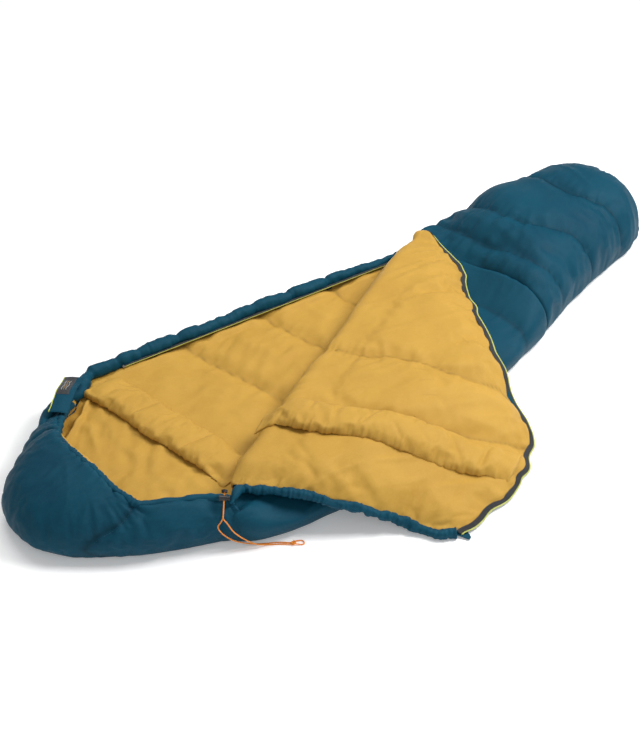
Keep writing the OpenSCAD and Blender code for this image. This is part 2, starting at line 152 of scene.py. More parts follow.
def folds(x, y, size, turn=0.0):
    """Long soft wrinkles, one about every size mm, that run along the direction turn."""
    c, s = math.cos(turn), math.sin(turn)
    a, b = x * c + y * s, -x * s + y * c
    wander = noise(a / (6 * size) + 5.3, b / (6 * size) + 1.7) * 1.3
    return 1 - 2 * np.abs(noise(a / (4.5 * size) + 9.1, b / size + wander + 3.1))


def along(px, py, line):
    """How far along a polyline each point is, and how far from it."""
    best_s = np.zeros(np.shape(px))
    best_d = np.full(np.shape(px), 1e9)
    run = 0.0
    for (ax, ay), (bx, by) in zip(line[:-1], line[1:]):
        dx, dy = bx - ax, by - ay
        length = math.hypot(dx, dy)
        t = clamp01(((px - ax) * dx + (py - ay) * dy) / length**2)
        d = np.hypot(px - ax - t * dx, py - ay - t * dy)
        near = d < best_d
        best_d = np.where(near, d, best_d)
        best_s = np.where(near, run + t * length, best_s)
        run += length
    return best_s, best_d


def nearest(px, py, lines):
    """How far each point is from the nearest of several polylines."""
    return np.min([along(px, py, line)[1] for line in lines], axis=0)


def valley(px, py, lines, depth, reach=26.0, pucker=1.6):
    """How far quilting lines pull a surface in, with short puckers square to each line."""
    low = np.zeros(np.shape(px))
    crease = np.zeros(np.shape(px))
    for k, line in enumerate(lines):
        s, d = along(px, py, line)
        low = np.maximum(low, depth * (0.72 * np.exp(-d / reach) + 0.28 * bell(d, 2.6 * reach)))
        ripple = (noise(s / 13.0 + 17.3 * k, d / 90.0 + 3.3 * k)
                  + 0.6 * noise(s / 6.5 + 5.1 * k, d / 50.0 + 1.3 * k))
        crease = crease + ripple * pucker * np.exp(-d / 34.0) * smooth(d / 5.0 + 0.25)
    return -low + crease


# ---- Mesh helpers ----
def new_object(name, points, faces, materials, face_slots=None, weld=0.0):
    """A smooth-shaded mesh object from points in mm, with its normals outwards."""
    mesh = bpy.data.meshes.new(name)
    mesh.from_pydata((np.asarray(points, float) * MM).tolist(), [], [list(map(int, f)) for f in faces])
    for material in materials:
        mesh.materials.append(material)
    if face_slots is not None:
        mesh.polygons.foreach_set("material_index", np.asarray(face_slots, np.int32))
    work = bmesh.new()
    work.from_mesh(mesh)
    if weld:
        bmesh.ops.remove_doubles(work, verts=work.verts, dist=weld * MM)
        bmesh.ops.dissolve_degenerate(work, dist=weld * MM * 0.5, edges=work.edges)
    bmesh.ops.recalc_face_normals(work, faces=work.faces)
    work.to_mesh(mesh)
    work.free()
    mesh.shade_smooth()
    made = bpy.data.objects.new(name, mesh)
    scene.collection.objects.link(made)
    return made


def pad(name, outer, inner, materials, weld=0.4):
    """A closed pad between two point grids. Slot 0 is the outer face and the rim, slot 1 the inner face."""
    rows, cols = outer.shape[:2]
    index = np.arange(rows * cols).reshape(rows, cols)
    quads = np.stack([index[:-1, :-1], index[:-1, 1:], index[1:, 1:], index[1:, :-1]], -1).reshape(-1, 4)
    edge = np.concatenate([index[0, :-1], index[:-1, -1], index[-1, :0:-1], index[:0:-1, 0]])
    after = np.roll(edge, -1)
    shift = rows * cols
    rim = np.stack([edge, edge + shift, after + shift, after], -1)
    faces = np.vstack([quads, quads + shift, rim])
    slots = np.concatenate([np.zeros(len(quads)), np.ones(len(quads)), np.zeros(len(rim))]).astype(int)
    points = np.vstack([outer.reshape(-1, 3), inner.reshape(-1, 3)])
    return new_object(name, points, faces, materials, slots, weld)


def tube(name, path, radius, sides, materials, closed=False):
    """A round tube along a path. radius is one number, one for each point, or a grid of point by side."""
    path = np.asarray(path, float)
    n = len(path)
    if closed:
        tangent = unit(np.roll(path, -1, 0) - np.roll(path, 1, 0))
    else:
        tangent = unit(np.gradient(path, axis=0))
    side = np.zeros_like(path)
    current = np.array([0.1, 0.2, 1.0])
    for i in range(n):
        current = unit(current - tangent[i] * (current @ tangent[i]))
        side[i] = current
    other = np.cross(tangent, side)
    angle = turns(sides)[None, :, None]
    radius = np.asarray(radius, float)
    if radius.ndim < 2:
        radius = np.broadcast_to(radius.reshape(-1, 1), (n, sides))
    ring = side[:, None] * np.cos(angle) + other[:, None] * np.sin(angle)
    points = path[:, None] + ring * radius[..., None]
    index = np.arange(n * sides).reshape(n, sides)
    ahead = np.roll(index, -1, 0) if closed else index[1:]
    here = index if closed else index[:-1]
    faces = np.stack([here, np.roll(here, -1, 1), np.roll(ahead, -1, 1), ahead], -1).reshape(-1, 4).tolist()
    points = points.reshape(-1, 3)
    if not closed:
        points = np.vstack([points, path[:1], path[-1:]])
        for end, row in ((n * sides, index[0]), (n * sides + 1, index[-1])):
            faces += [[end, row[k], row[(k + 1) % sides]] for k in range(sides)]
    return new_object(name, points, faces, materials)


def curve(route, n):
    """A smooth curve through listed route points."""
    r = np.asarray(route, float)
    found = []
    for i in range(len(r) - 1):
        p0, p1, p2, p3 = r[max(i - 1, 0)], r[i], r[i + 1], r[min(i + 2, len(r) - 1)]
        for k in range(n):
            t = k / n
            found.append((2 * p1 + (p2 - p0) * t + (2 * p0 - 5 * p1 + 4 * p2 - p3) * t**2
                          + (3 * p1 - p0 - 3 * p2 + p3) * t**3) / 2)
    return np.array(found + [r[-1]])


def resample(path, step):
    run = lengths(path)
    at = np.arange(0, run[-1], step)
    return np.stack([np.interp(at, run, path[:, k]) for k in range(3)], -1)


def smooth_line(path, times):
    path = path.copy()
    for _ in range(times):
        path[1:-1] = 0.25 * path[:-2] + 0.5 * path[1:-1] + 0.25 * path[2:]
    return path


def coords(obj):
    co = np.zeros(len(obj.data.vertices) * 3, np.float32)
    obj.data.vertices.foreach_get("co", co)
    return co.reshape(-1, 3).astype(float) / MM


def set_coords(obj, points):
    obj.data.vertices.foreach_set("co", (np.asarray(points) * MM).astype(np.float32).ravel())
    obj.data.update()


def normals(obj):
    obj.data.update()
    no = np.zeros(len(obj.data.vertices) * 3, np.float32)
    obj.data.vertex_normals.foreach_get("vector", no)
    return no.reshape(-1, 3).astype(float)


def slot_share(obj):
    """For each vertex, the share of its faces that are in slot 1."""
    total = np.zeros(len(obj.data.vertices))
    ones = np.zeros(len(obj.data.vertices))
    for face in obj.data.polygons:
        ids = list(face.vertices)
        total[ids] += 1
        if face.material_index == 1:
            ones[ids] += 1
    return ones / np.maximum(total, 1)


def inflate(obj, hold, pressure=4.0, slack=0.02, cap=11.0, frames=20):
    """Runs cloth on a closed pad whose quilting lines are held, caps its travel, and keeps the result."""
    start = coords(obj)
    group = obj.vertex_groups.new(name="hold")
    for level in range(1, 11):
        chosen = np.where(np.round(hold * 10) == level)[0]
        if len(chosen):
            group.add(chosen.tolist(), level / 10, "REPLACE")
    cloth = obj.modifiers.new("cloth", "CLOTH")
    cloth.settings.quality = 4
    cloth.settings.mass = 0.2
    cloth.settings.tension_stiffness = 6
    cloth.settings.compression_stiffness = 6
    cloth.settings.shear_stiffness = 2
    cloth.settings.bending_stiffness = 0.12
    cloth.settings.air_damping = 3
    cloth.settings.use_pressure = True
    cloth.settings.uniform_pressure_force = pressure
    cloth.settings.shrink_min = -slack
    cloth.settings.vertex_group_mass = "hold"
    cloth.settings.effector_weights.gravity = 0
    cloth.collision_settings.use_collision = False
    cloth.point_cache.frame_start = 1
    cloth.point_cache.frame_end = frames
    for number in range(1, frames + 1):
        scene.frame_set(number)
    done = obj.evaluated_get(bpy.context.evaluated_depsgraph_get())
    co = np.zeros(len(start) * 3, np.float32)
    done.data.vertices.foreach_get("co", co)
    moved = co.reshape(-1, 3).astype(float) / MM - start
    moved = np.nan_to_num(moved)
    travel = np.linalg.norm(moved, axis=1, keepdims=True)
    obj.modifiers.remove(cloth)
    obj.vertex_groups.clear()
    set_coords(obj, start + moved * np.minimum(1, cap / np.maximum(travel, 1e-6)))
    scene.frame_set(1)


def refine(obj):
    """Subdivides a mesh once, smoothly, and keeps the result."""
    finer = obj.modifiers.new("finer", "SUBSURF")
    finer.levels = finer.render_levels = 1
    finer.boundary_smooth = "PRESERVE_CORNERS"
    done = obj.evaluated_get(bpy.context.evaluated_depsgraph_get())
    mesh = bpy.data.meshes.new_from_object(done)
    obj.modifiers.remove(finer)
    old = obj.data
    obj.data = mesh
    bpy.data.meshes.remove(old)
    obj.data.name = obj.name
    obj.data.shade_smooth()


def keep_above(obj, low):
    """Lifts the points of a piece that are lower than this height."""
    co = coords(obj)
    co[:, 2] = np.maximum(co[:, 2], low)
    set_coords(obj, co)


def push(obj, amount):
    set_coords(obj, coords(obj) + normals(obj) * np.asarray(amount)[:, None])


def paint(obj, values, name="seam"):
    """Keeps a number from 0 to 1 at each vertex, which the materials read."""
    layer = obj.data.attributes.get(name) or obj.data.attributes.new(name, "FLOAT", "POINT")
    layer.data.foreach_set("value", np.clip(values, 0, 1).astype(np.float32))


def shell_where(obj, test):
    """Gives the faces whose centres, in mm, pass the test the shell fabric of slot 0."""
    mesh = obj.data
    centre = np.zeros(len(mesh.polygons) * 3, np.float32)
    mesh.polygons.foreach_get("center", centre)
    slots = np.zeros(len(mesh.polygons), np.int32)
    mesh.polygons.foreach_get("material_index", slots)
    slots[test(*(centre.reshape(-1, 3).T.astype(float) / MM))] = 0
    mesh.polygons.foreach_set("material_index", slots)


def limit_in(amount, z, most=3.0):
    """Keeps a low wall's dents shallow, so that nothing behind it shows."""
    return np.where(z < 65, np.maximum(amount, -most), amount)


# ---- The frame's own formulas, in millimetres ----
HEAD_X, TOE_X, MIDDLE_X = -1022.0, 1078.0, 28.0
SHOULDER_X, ROUND_X, FOOT_X, NECK_X = -400.0, 930.0, 466.0, -620.0
RIM_CROWN_X, DOME_X = -835.0, -812.0
SHOULDER_W, FOOT_W, HOOD_H, FOOT_H = 820.0, 370.0, 158.0, 195.0
SEAM_H, BACK_LOFT, FOLD_Z, FRONT_LOFT, EDGE_LOFT, DRAPE_Z = 45.0, 50.0, 96.0, 34.0, 10.0, 4.0
PAD = 24.0
SKIRT_Z = 2.5
FRONT_H = FOLD_Z - 1.5 - SEAM_H
FOLD_END, FOLD_NECK = 514.0, -645.0
COIL_INSET, COIL_Z = 44.0, 62.0
FOLD_SLOPE, FOLD_Y0 = 0.46, 14.0
FOLD_DIR = np.array([1.0, FOLD_SLOPE]) / math.hypot(1, FOLD_SLOPE)
FOLD_OUT = np.array([FOLD_DIR[1], -FOLD_DIR[0]])
FLAP_WIDTH = [[-490, 485], [-415, 512], [-355, 535], [-265, 552], [-125, 540], [-45, 488],
              [35, 400], [170, 290], [280, 220], [415, 142], [514, 15]]
FLAP_NECK = [[0, -645], [215, -577], [360, -512], [445, -508], [485, -482]]


def head_w(t):
    return np.sqrt(np.maximum(t, 0)) + 0.06 * smooth((t - 0.55) / 0.15) * (1 - smooth((t - 0.75) / 0.25))


def half_w(x):
    head = SHOULDER_W / 2 * head_w((x - HEAD_X) / (SHOULDER_X - HEAD_X))
    body = mix(SHOULDER_W, FOOT_W, (x - SHOULDER_X) / (ROUND_X - SHOULDER_X)) / 2
    return np.where(x < SHOULDER_X, head, body * dome(clamp01((x - ROUND_X) / (TOE_X - ROUND_X)), 2.5))


def mid_y(x):
    return 50 * smooth((x - 300) / 500)


def edge_line(x):
    return 262 + (440 - x) * 0.1165


def skirt_z(below):
    """The height of a side wall, from its seam (0) to its lower edge near the floor (1)."""
    return mix(SEAM_H, SKIRT_Z, below**1.15)


def toe_x(v, x_high):
    """Where the round foot end is at each place across."""
    k = half_w(np.array(x_high)) / (FOOT_W / 2)
    return ROUND_X + (TOE_X - ROUND_X) * np.maximum(0, 1 - (np.abs(v) * k) ** 2.5) ** 0.4


def half_at(x, v):
    return np.where((v > 0) & (x < 440), np.minimum(half_w(x), edge_line(x) + 5 - mid_y(x)), half_w(x))


def rim_x(v):
    a = np.abs(v)
    near = np.minimum(NECK_X, RIM_CROWN_X + 40 * (a / 0.78) ** 4 + 175 * smooth((a - 0.72) / 0.12))
    return np.where(v < 0, near, RIM_CROWN_X + 200 * a**5)


def hood_top(x):
    return (HOOD_H - SEAM_H) * np.sqrt(np.maximum(0, 1 - (1 - clamp01((x - HEAD_X) / 210)) ** 2))


def front_rise(x, y):
    return (FOOT_H - FOLD_Z) * smooth((x - 0.49 * y - 395) / 250)


def foot_top(x, y):
    return (FRONT_H + front_rise(x, y)) * dome(clamp01((x - ROUND_X) / (TOE_X - ROUND_X)), 2.5)


def fold_y(x):
    return FOLD_Y0 + FOLD_SLOPE * x


def plan(s, m):
    return stack(s * FOLD_DIR[0] + m * FOLD_OUT[0], FOLD_Y0 + s * FOLD_DIR[1] + m * FOLD_OUT[1])


def unplan(x, y):
    return x * FOLD_DIR[0] + (y - FOLD_Y0) * FOLD_DIR[1], x * FOLD_OUT[0] + (y - FOLD_Y0) * FOLD_OUT[1]


def drape(x, y):
    return smooth((mid_y(x) - half_w(x) - y + 60) / 260)


def flap_under(x, y):
    return mix(FOLD_Z + 1.5 + front_rise(x, y), DRAPE_Z, drape(x, y))


def flap_width(s):
    """The free edge's distance from the fold, with the zip's own waves."""
    wave = 5.0 * np.sin(s / 17.5 + 2.4 * noise(s / 90, 0.3)) + 2.5 * noise(s / 33, 4.2)
    return lookup(s, FLAP_WIDTH) + wave * smooth((FOLD_END - s) / 90)


def flap_edge(s, m):
    return np.minimum(np.minimum(flap_width(s) - m, s - lookup(m, FLAP_NECK)), 0.6 * (FOLD_END - s))


def flap_loft(s, m):
    return mix(EDGE_LOFT, FRONT_LOFT, smooth(flap_edge(s, m) / 70))


def flap_s(a, f):
    return mix(lookup(f * 485, FLAP_NECK), FOLD_END, a)


def flap_m(a, f):
    return f * flap_width(flap_s(a, f))


# ---- Drawcord, on the route that the CAD strands take ----
LOCK_AT = np.array([-645.0, -280.0, 118.0])
CORD_DOWN = np.array([-0.56588, -0.60050, -0.56497])
CORD_SIDE = np.array([0.38746, 0.41117, -0.82511])
STRAND_START = LOCK_AT - CORD_DOWN * 19
ROUTE_A = [[-676, -306, 82], [-683, -303, 68], [-676, -312, 48], [-656, -326, 26], [-626, -342, 10],
           [-597, -357, 2.4], [-570, -374, 1.8], [-548, -397, 3.5]]
ROUTE_B = [[-667, -317, 80], [-659, -329, 58], [-641, -342, 34], [-616, -356, 12], [-590, -367, 2.4],
           [-566, -385, 1.8], [-549, -402, 3.5]]
LOOP_ROUTE = [[-546, -398, 4], [-534, -399, 2.4], [-523, -408, 2], [-529, -418, 2.4], [-545, -405, 4]]
KNOT_AT = np.array([-545.0, -401.0, 4.8])


def strand_path(k, route):
    straight = [STRAND_START, LOCK_AT, LOCK_AT + CORD_DOWN * 34, LOCK_AT + CORD_DOWN * 46]
    return curve([p + CORD_SIDE * k for p in straight] + [np.array(p) for p in route], 8)


def run_length(path):
    return float(np.linalg.norm(np.diff(path, axis=0), axis=1).sum())


PATH_A = strand_path(-1.8, ROUTE_A)
PATH_B = strand_path(1.8, ROUTE_B)


# ---- Materials ----
def material(name, colour, roughness, metallic=0.0, sheen=0.0, sheen_tint=(1, 1, 1, 1), sheen_roughness=0.4,
             specular=0.5, coat=0.0):
    made = bpy.data.materials.new(name)
    made.use_nodes = True
    tree = made.node_tree
    surface = tree.nodes["Principled BSDF"]
    surface.inputs["Base Color"].default_value = (*colour, 1)
    surface.inputs["Roughness"].default_value = roughness
    surface.inputs["Metallic"].default_value = metallic
    surface.inputs["Specular IOR Level"].default_value = specular
    surface.inputs["Sheen Weight"].default_value = sheen
    surface.inputs["Sheen Roughness"].default_value = sheen_roughness
    surface.inputs["Sheen Tint"].default_value = sheen_tint
    surface.inputs["Coat Weight"].default_value = coat
    return made, tree, surface


def put(tree, kind, inputs=(), **settings):
    made = tree.nodes.new(kind)
    for key, value in settings.items():
        setattr(made, key, value)
    for key, value in dict(inputs).items():
        if isinstance(value, bpy.types.NodeSocket):
            tree.links.new(value, made.inputs[key])
        else:
            made.inputs[key].default_value = value
    return made


def maths(tree, operation, a, b):
    return put(tree, "ShaderNodeMath", {0: a, 1: b}, operation=operation).outputs[0]


def blend_colour(tree, factor, a, b):
    made = put(tree, "ShaderNodeMix", {"Factor": factor}, data_type="RGBA")
    for key, value in ((6, a), (7, b)):
        if isinstance(value, bpy.types.NodeSocket):
            tree.links.new(value, made.inputs[key])
        else:
            made.inputs[key].default_value = (*value, 1)
    return made.outputs[2]


def ramp(tree, value, stops):
    made = put(tree, "ShaderNodeValToRGB", {"Fac": value})
    for i, (place, level) in enumerate(stops):
        stop = made.color_ramp.elements[i] if i < 2 else made.color_ramp.elements.new(place)
        stop.position = place
        stop.color = (level, level, level, 1)
    return made.outputs["Color"]


def cloud(tree, where, scale, detail, roughness=0.5, distortion=0.0):
    """A noise texture."""
    return put(tree, "ShaderNodeTexNoise", {"Vector": where, "Scale": scale, "Detail": detail,
                                            "Roughness": roughness, "Distortion": distortion}).outputs["Fac"]


def weave_height(tree, where, thread):
    """Over-and-under threads, one each thread metres."""
    scale = 0.314 / thread
    bands = [put(tree, "ShaderNodeTexWave", {"Vector": where, "Scale": scale}, bands_direction=d).outputs["Fac"]
             for d in ("X", "Y", "Z")]
    return maths(tree, "MULTIPLY", maths(tree, "ADD", bands[0], bands[2]), maths(tree, "ADD", bands[1], 0.4))


def fabric(name, colour, dark, light, roughness, sheen, tint, thread=0.0009, crinkle=0.0011, rough_span=0.12,
           specular=0.35, weave_depth=0.00012):
    made, tree, surface = material(name, colour, roughness, sheen=sheen, sheen_tint=(*tint, 1),
                                   specular=specular, sheen_roughness=0.35)
    where = put(tree, "ShaderNodeTexCoord").outputs["Object"]
    patches = cloud(tree, where, 7.0, 4.0, 0.6)
    speck = cloud(tree, where, 190.0, 3.0)
    creased = cloud(tree, where, 26.0, 3.0, 0.5, 0.6)
    threads = weave_height(tree, where, thread)
    seam = put(tree, "ShaderNodeAttribute", attribute_name="seam").outputs["Fac"]
    wear = put(tree, "ShaderNodeNewGeometry").outputs["Pointiness"]
    tone = blend_colour(tree, ramp(tree, patches, [(0.32, 0.0), (0.68, 1.0)]), dark, colour)
    for value, stops, share in ((speck, [(0.42, 0.0), (0.7, 1.0)], 0.12),
                                (wear, [(0.5, 0.0), (0.56, 1.0)], 0.2)):
        tone = blend_colour(tree, maths(tree, "MULTIPLY", ramp(tree, value, stops), share), tone, light)
    # painted shade: where the "seam" attribute is high (quilting valleys, collar sewn edges, the pocket slit)
    # the colour darkens towards a third of the dark tone
    tone = blend_colour(tree, maths(tree, "MULTIPLY", seam, 0.7), tone, tuple(0.35 * c for c in dark))
    tree.links.new(tone, surface.inputs["Base Color"])
    shine = put(tree, "ShaderNodeMapRange", {"Value": creased, "To Min": roughness - rough_span,
                                             "To Max": roughness + rough_span})
    tree.links.new(shine.outputs[0], surface.inputs["Roughness"])
    folded = put(tree, "ShaderNodeBump", {"Height": creased, "Strength": 0.55, "Distance": crinkle})
    woven = put(tree, "ShaderNodeBump", {"Height": threads, "Strength": 0.6, "Distance": weave_depth,
                                         "Normal": folded.outputs[0]})
    tree.links.new(woven.outputs[0], surface.inputs["Normal"])
    return made


def moulded(name, colour, light, roughness, metallic=0.0, grain=420.0, coat=0.0):
    """Moulded plastic or cast metal: fine grain, handling marks, paler worn edges."""
    made, tree, surface = material(name, colour, roughness, metallic, coat=coat)
    where = put(tree, "ShaderNodeTexCoord").outputs["Object"]
    fine = cloud(tree, where, grain, 3.0)
    marks = cloud(tree, where, grain / 7, 6.0, 0.7)
    wear = put(tree, "ShaderNodeNewGeometry").outputs["Pointiness"]
    tone = blend_colour(tree, ramp(tree, marks, [(0.45, 0.0), (0.75, 0.5)]), colour, light)
    tone = blend_colour(tree, ramp(tree, wear, [(0.51, 0.0), (0.6, 0.7)]), tone, light)
    tree.links.new(tone, surface.inputs["Base Color"])
    span = put(tree, "ShaderNodeMapRange", {"Value": marks, "To Min": roughness - 0.1,
                                            "To Max": roughness + 0.15})
    tree.links.new(span.outputs[0], surface.inputs["Roughness"])
    bump = put(tree, "ShaderNodeBump", {"Height": fine, "Strength": 0.35, "Distance": 0.00015})
    tree.links.new(bump.outputs[0], surface.inputs["Normal"])
    return made


SHELL = fabric("shell_fabric", (0.0022, 0.058, 0.098), (0.0015, 0.044, 0.078), (0.010, 0.095, 0.145), 0.54, 0.0,
               (0.35, 0.7, 0.9), specular=0.12)
LINING = fabric("lining_fabric", (0.53, 0.308, 0.052), (0.475, 0.268, 0.043), (0.64, 0.395, 0.095), 0.62, 0.04,
                (1.0, 0.82, 0.5), crinkle=0.0011, specular=0.2)
TAPE = fabric("zip_tape_fabric", (0.026, 0.028, 0.031), (0.017, 0.018, 0.02), (0.07, 0.072, 0.078), 0.72, 0.15,
              (0.7, 0.75, 0.8), thread=0.0011, crinkle=0.0004, weave_depth=0.0003)
HOOK = fabric("hook_tape_fabric", (0.02, 0.021, 0.023), (0.012, 0.012, 0.014), (0.06, 0.06, 0.065), 0.85, 0.4,
              (0.7, 0.75, 0.8), thread=0.0016, crinkle=0.0003, weave_depth=0.0007)
LABEL = fabric("label_fabric", (0.030, 0.033, 0.037), (0.020, 0.022, 0.025), (0.09, 0.095, 0.10), 0.6, 0.2,
               (0.8, 0.85, 0.9), thread=0.0007, crinkle=0.0003, weave_depth=0.0002)
PIPING = fabric("piping_fabric", (0.62, 0.66, 0.07), (0.52, 0.56, 0.05), (0.78, 0.80, 0.22), 0.6, 0.2,
                (0.9, 1.0, 0.6), thread=0.0007, crinkle=0.0002)
THREAD_BLUE = fabric("thread_blue", (0.008, 0.042, 0.066), (0.006, 0.032, 0.05), (0.03, 0.1, 0.14), 0.55, 0.2,
                     (0.6, 0.8, 0.9), thread=0.0005, crinkle=0.0001)
THREAD_GOLD = fabric("thread_gold", (0.44, 0.24, 0.05), (0.36, 0.19, 0.035), (0.6, 0.36, 0.1), 0.6, 0.2,
                     (1, 0.9, 0.7), thread=0.0005, crinkle=0.0001)
LABEL_LIGHT = fabric("label_thread", (0.4, 0.41, 0.42), (0.3, 0.31, 0.32), (0.6, 0.6, 0.6), 0.6, 0.2, (1, 1, 1),
                     thread=0.0005, crinkle=0.0001)
COIL = moulded("zip_coil_nylon", (0.46, 0.50, 0.05), (0.62, 0.65, 0.2), 0.38)
METAL = moulded("slider_metal", (0.13, 0.13, 0.135), (0.38, 0.38, 0.39), 0.34, metallic=0.9)
PLASTIC = moulded("trim_plastic", (0.004, 0.004, 0.0045), (0.022, 0.022, 0.024), 0.40, coat=0.05)


def cord_material():
    """A braid: two crossing sets of strands, from the run along and the turn around that the tube keeps."""
    made, tree, surface = material("drawcord_braid", (0.80, 0.21, 0.022), 0.6, sheen=0.1,
                                   sheen_tint=(1, 0.7, 0.4, 1))
    run = put(tree, "ShaderNodeAttribute", attribute_name="run").outputs["Fac"]
    turn = put(tree, "ShaderNodeAttribute", attribute_name="turn").outputs["Fac"]
    around = maths(tree, "MULTIPLY", turn, 2 * math.pi * 4)
    pull = maths(tree, "MULTIPLY", run, 2 * math.pi * 560)
    left = maths(tree, "SINE", maths(tree, "ADD", pull, around), 0.0)
    right = maths(tree, "SINE", maths(tree, "SUBTRACT", pull, around), 0.0)
    height = maths(tree, "MAXIMUM", left, right)
    # painted shade: the braid's colour darkens where its height is low, in the grooves between strands
    tone = blend_colour(tree, ramp(tree, height, [(0.0, 0.0), (0.8, 1.0)]), (0.60, 0.16, 0.010),
                        (0.95, 0.32, 0.025))
    tree.links.new(tone, surface.inputs["Base Color"])
    bump = put(tree, "ShaderNodeBump", {"Height": height, "Strength": 0.5, "Distance": 0.0003})
    tree.links.new(bump.outputs[0], surface.inputs["Normal"])
    return made


CORD = cord_material()


# ---- Cords ----
def cord_tube(name, path, radius=1.5, sides=14):
    made = tube(name, path, radius, sides, [CORD])
    runs = lengths(path) * MM
    paint(made, np.concatenate([np.repeat(runs, sides), [runs[0], runs[-1]]]), "run")
    paint(made, np.concatenate([np.tile(np.arange(sides) / sides, len(path)), [0, 0]]), "turn")
    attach(made, "bag")
    return made


def make_cords():
    strand_a = cord_tube("drawcord_a", PATH_A)
    strand_b = cord_tube("drawcord_b", PATH_B)
    loop = cord_tube("drawcord_end_loop", curve(LOOP_ROUTE, 8), 1.45)
    steps, sides = 96, 12
    t = np.linspace(0, 2 * math.pi, steps + 1)[:-1]
    ring = 3.4 + 1.5 * np.cos(3 * t)
    knot_path = KNOT_AT + stack(ring * np.cos(2 * t) * 1.15, ring * np.sin(2 * t), 1.5 * np.sin(3 * t) - 0.2)
    knot = tube("drawcord_overhand_knot", knot_path, 1.6, sides, [CORD], closed=True)
    paint(knot, np.repeat(np.arange(steps) * 0.0004, sides), "run")
    paint(knot, np.tile(np.arange(sides) / sides, steps), "turn")
    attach(knot, "bag")
    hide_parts("drawcord_strand_a")
    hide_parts("drawcord_strand_b")
    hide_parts("drawcord_loop")
    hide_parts("drawcord_knot")
    for piece, path, extra in ((strand_a, PATH_A, [knot, loop]), (strand_b, PATH_B, [])):
        round(run_length(path) * MM, 3)
        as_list(extra)


make_cords()


# ---- Quilting lines, in plan, and in fold coordinates on the open panel ----
FOOT_SEAMS = [
    [(665, 330), (645, 200), (630, 85), (638, 5), (672, -52), (714, -100), (735, -138), (742, -190)],
    [(560, 330), (535, 90), (532, -10), (533, -88), (540, -145), (556, -175), (566, -200), (580, -240)],
    [(FOOT_X + 4, 330), (FOOT_X + 2, 100), (FOOT_X + 2, -300)],
    [(850, 330), (850, 100), (852, 20), (872, -40), (900, -80), (912, -180)],
]
BACK_SEAMS = [
    [(-330, 400), (-300, 215), (-270, 60), (-262, -120), (-270, -400)],
    [(-90, 380), (-55, 145), (-30, 0), (-25, -120), (-30, -400)],
    [(142, 340), (150, 240), (175, 60), (190, -100), (190, -340)],
    [(350, 320), (360, 60), (365, -300)],
]
HOOD_SEAMS = [
    [(-800, -150), (-825, -174), (-869, -176), (-904, -163), (-935, -151), (-960, -140), (-990, -120)],
    [(-800, 150), (-825, 174), (-869, 176), (-904, 163), (-935, 151), (-960, 140), (-990, 120)],
    [(-560, -420), (-612, -330), (-622, -240)],
]
HOOD_CREASE = [(-626, 289), (-705, 228), (-781, 174)]
FLAP_SEAM = [(-112, -60), (-103, 86), (-76, 144), (-69, 219), (-76, 300), (-60, 377), (-30, 420), (-10, 480)]
COLLAR_SEAM = [(-392, -30), (-385, 0), (-352, 40), (-312, 109), (-290, 255), (-240, 377), (-185, 477),
               (-120, 560)]


# ---- Back panel: shell underneath, lining on top ----
def back_plan(u, v):
    x_low, x_high = HEAD_X + 40, TOE_X - 25
    x0 = mix(x_low, x_high, u)
    toe = toe_x(v, x_high)
    x = x0 - 40 * (1 - v**2) * np.exp(-(x0 - x_low) / 120) + (toe - x_high) * np.exp(-(x_high - x0) / 100)
    return stack(x, mid_y(x0) + v * half_at(x0, v))


def spread(n, k):
    """From -1 to 1, closer together towards both ends."""
    t = np.linspace(-1, 1, n)
    return mix(t, np.sin(t * math.pi / 2), k)


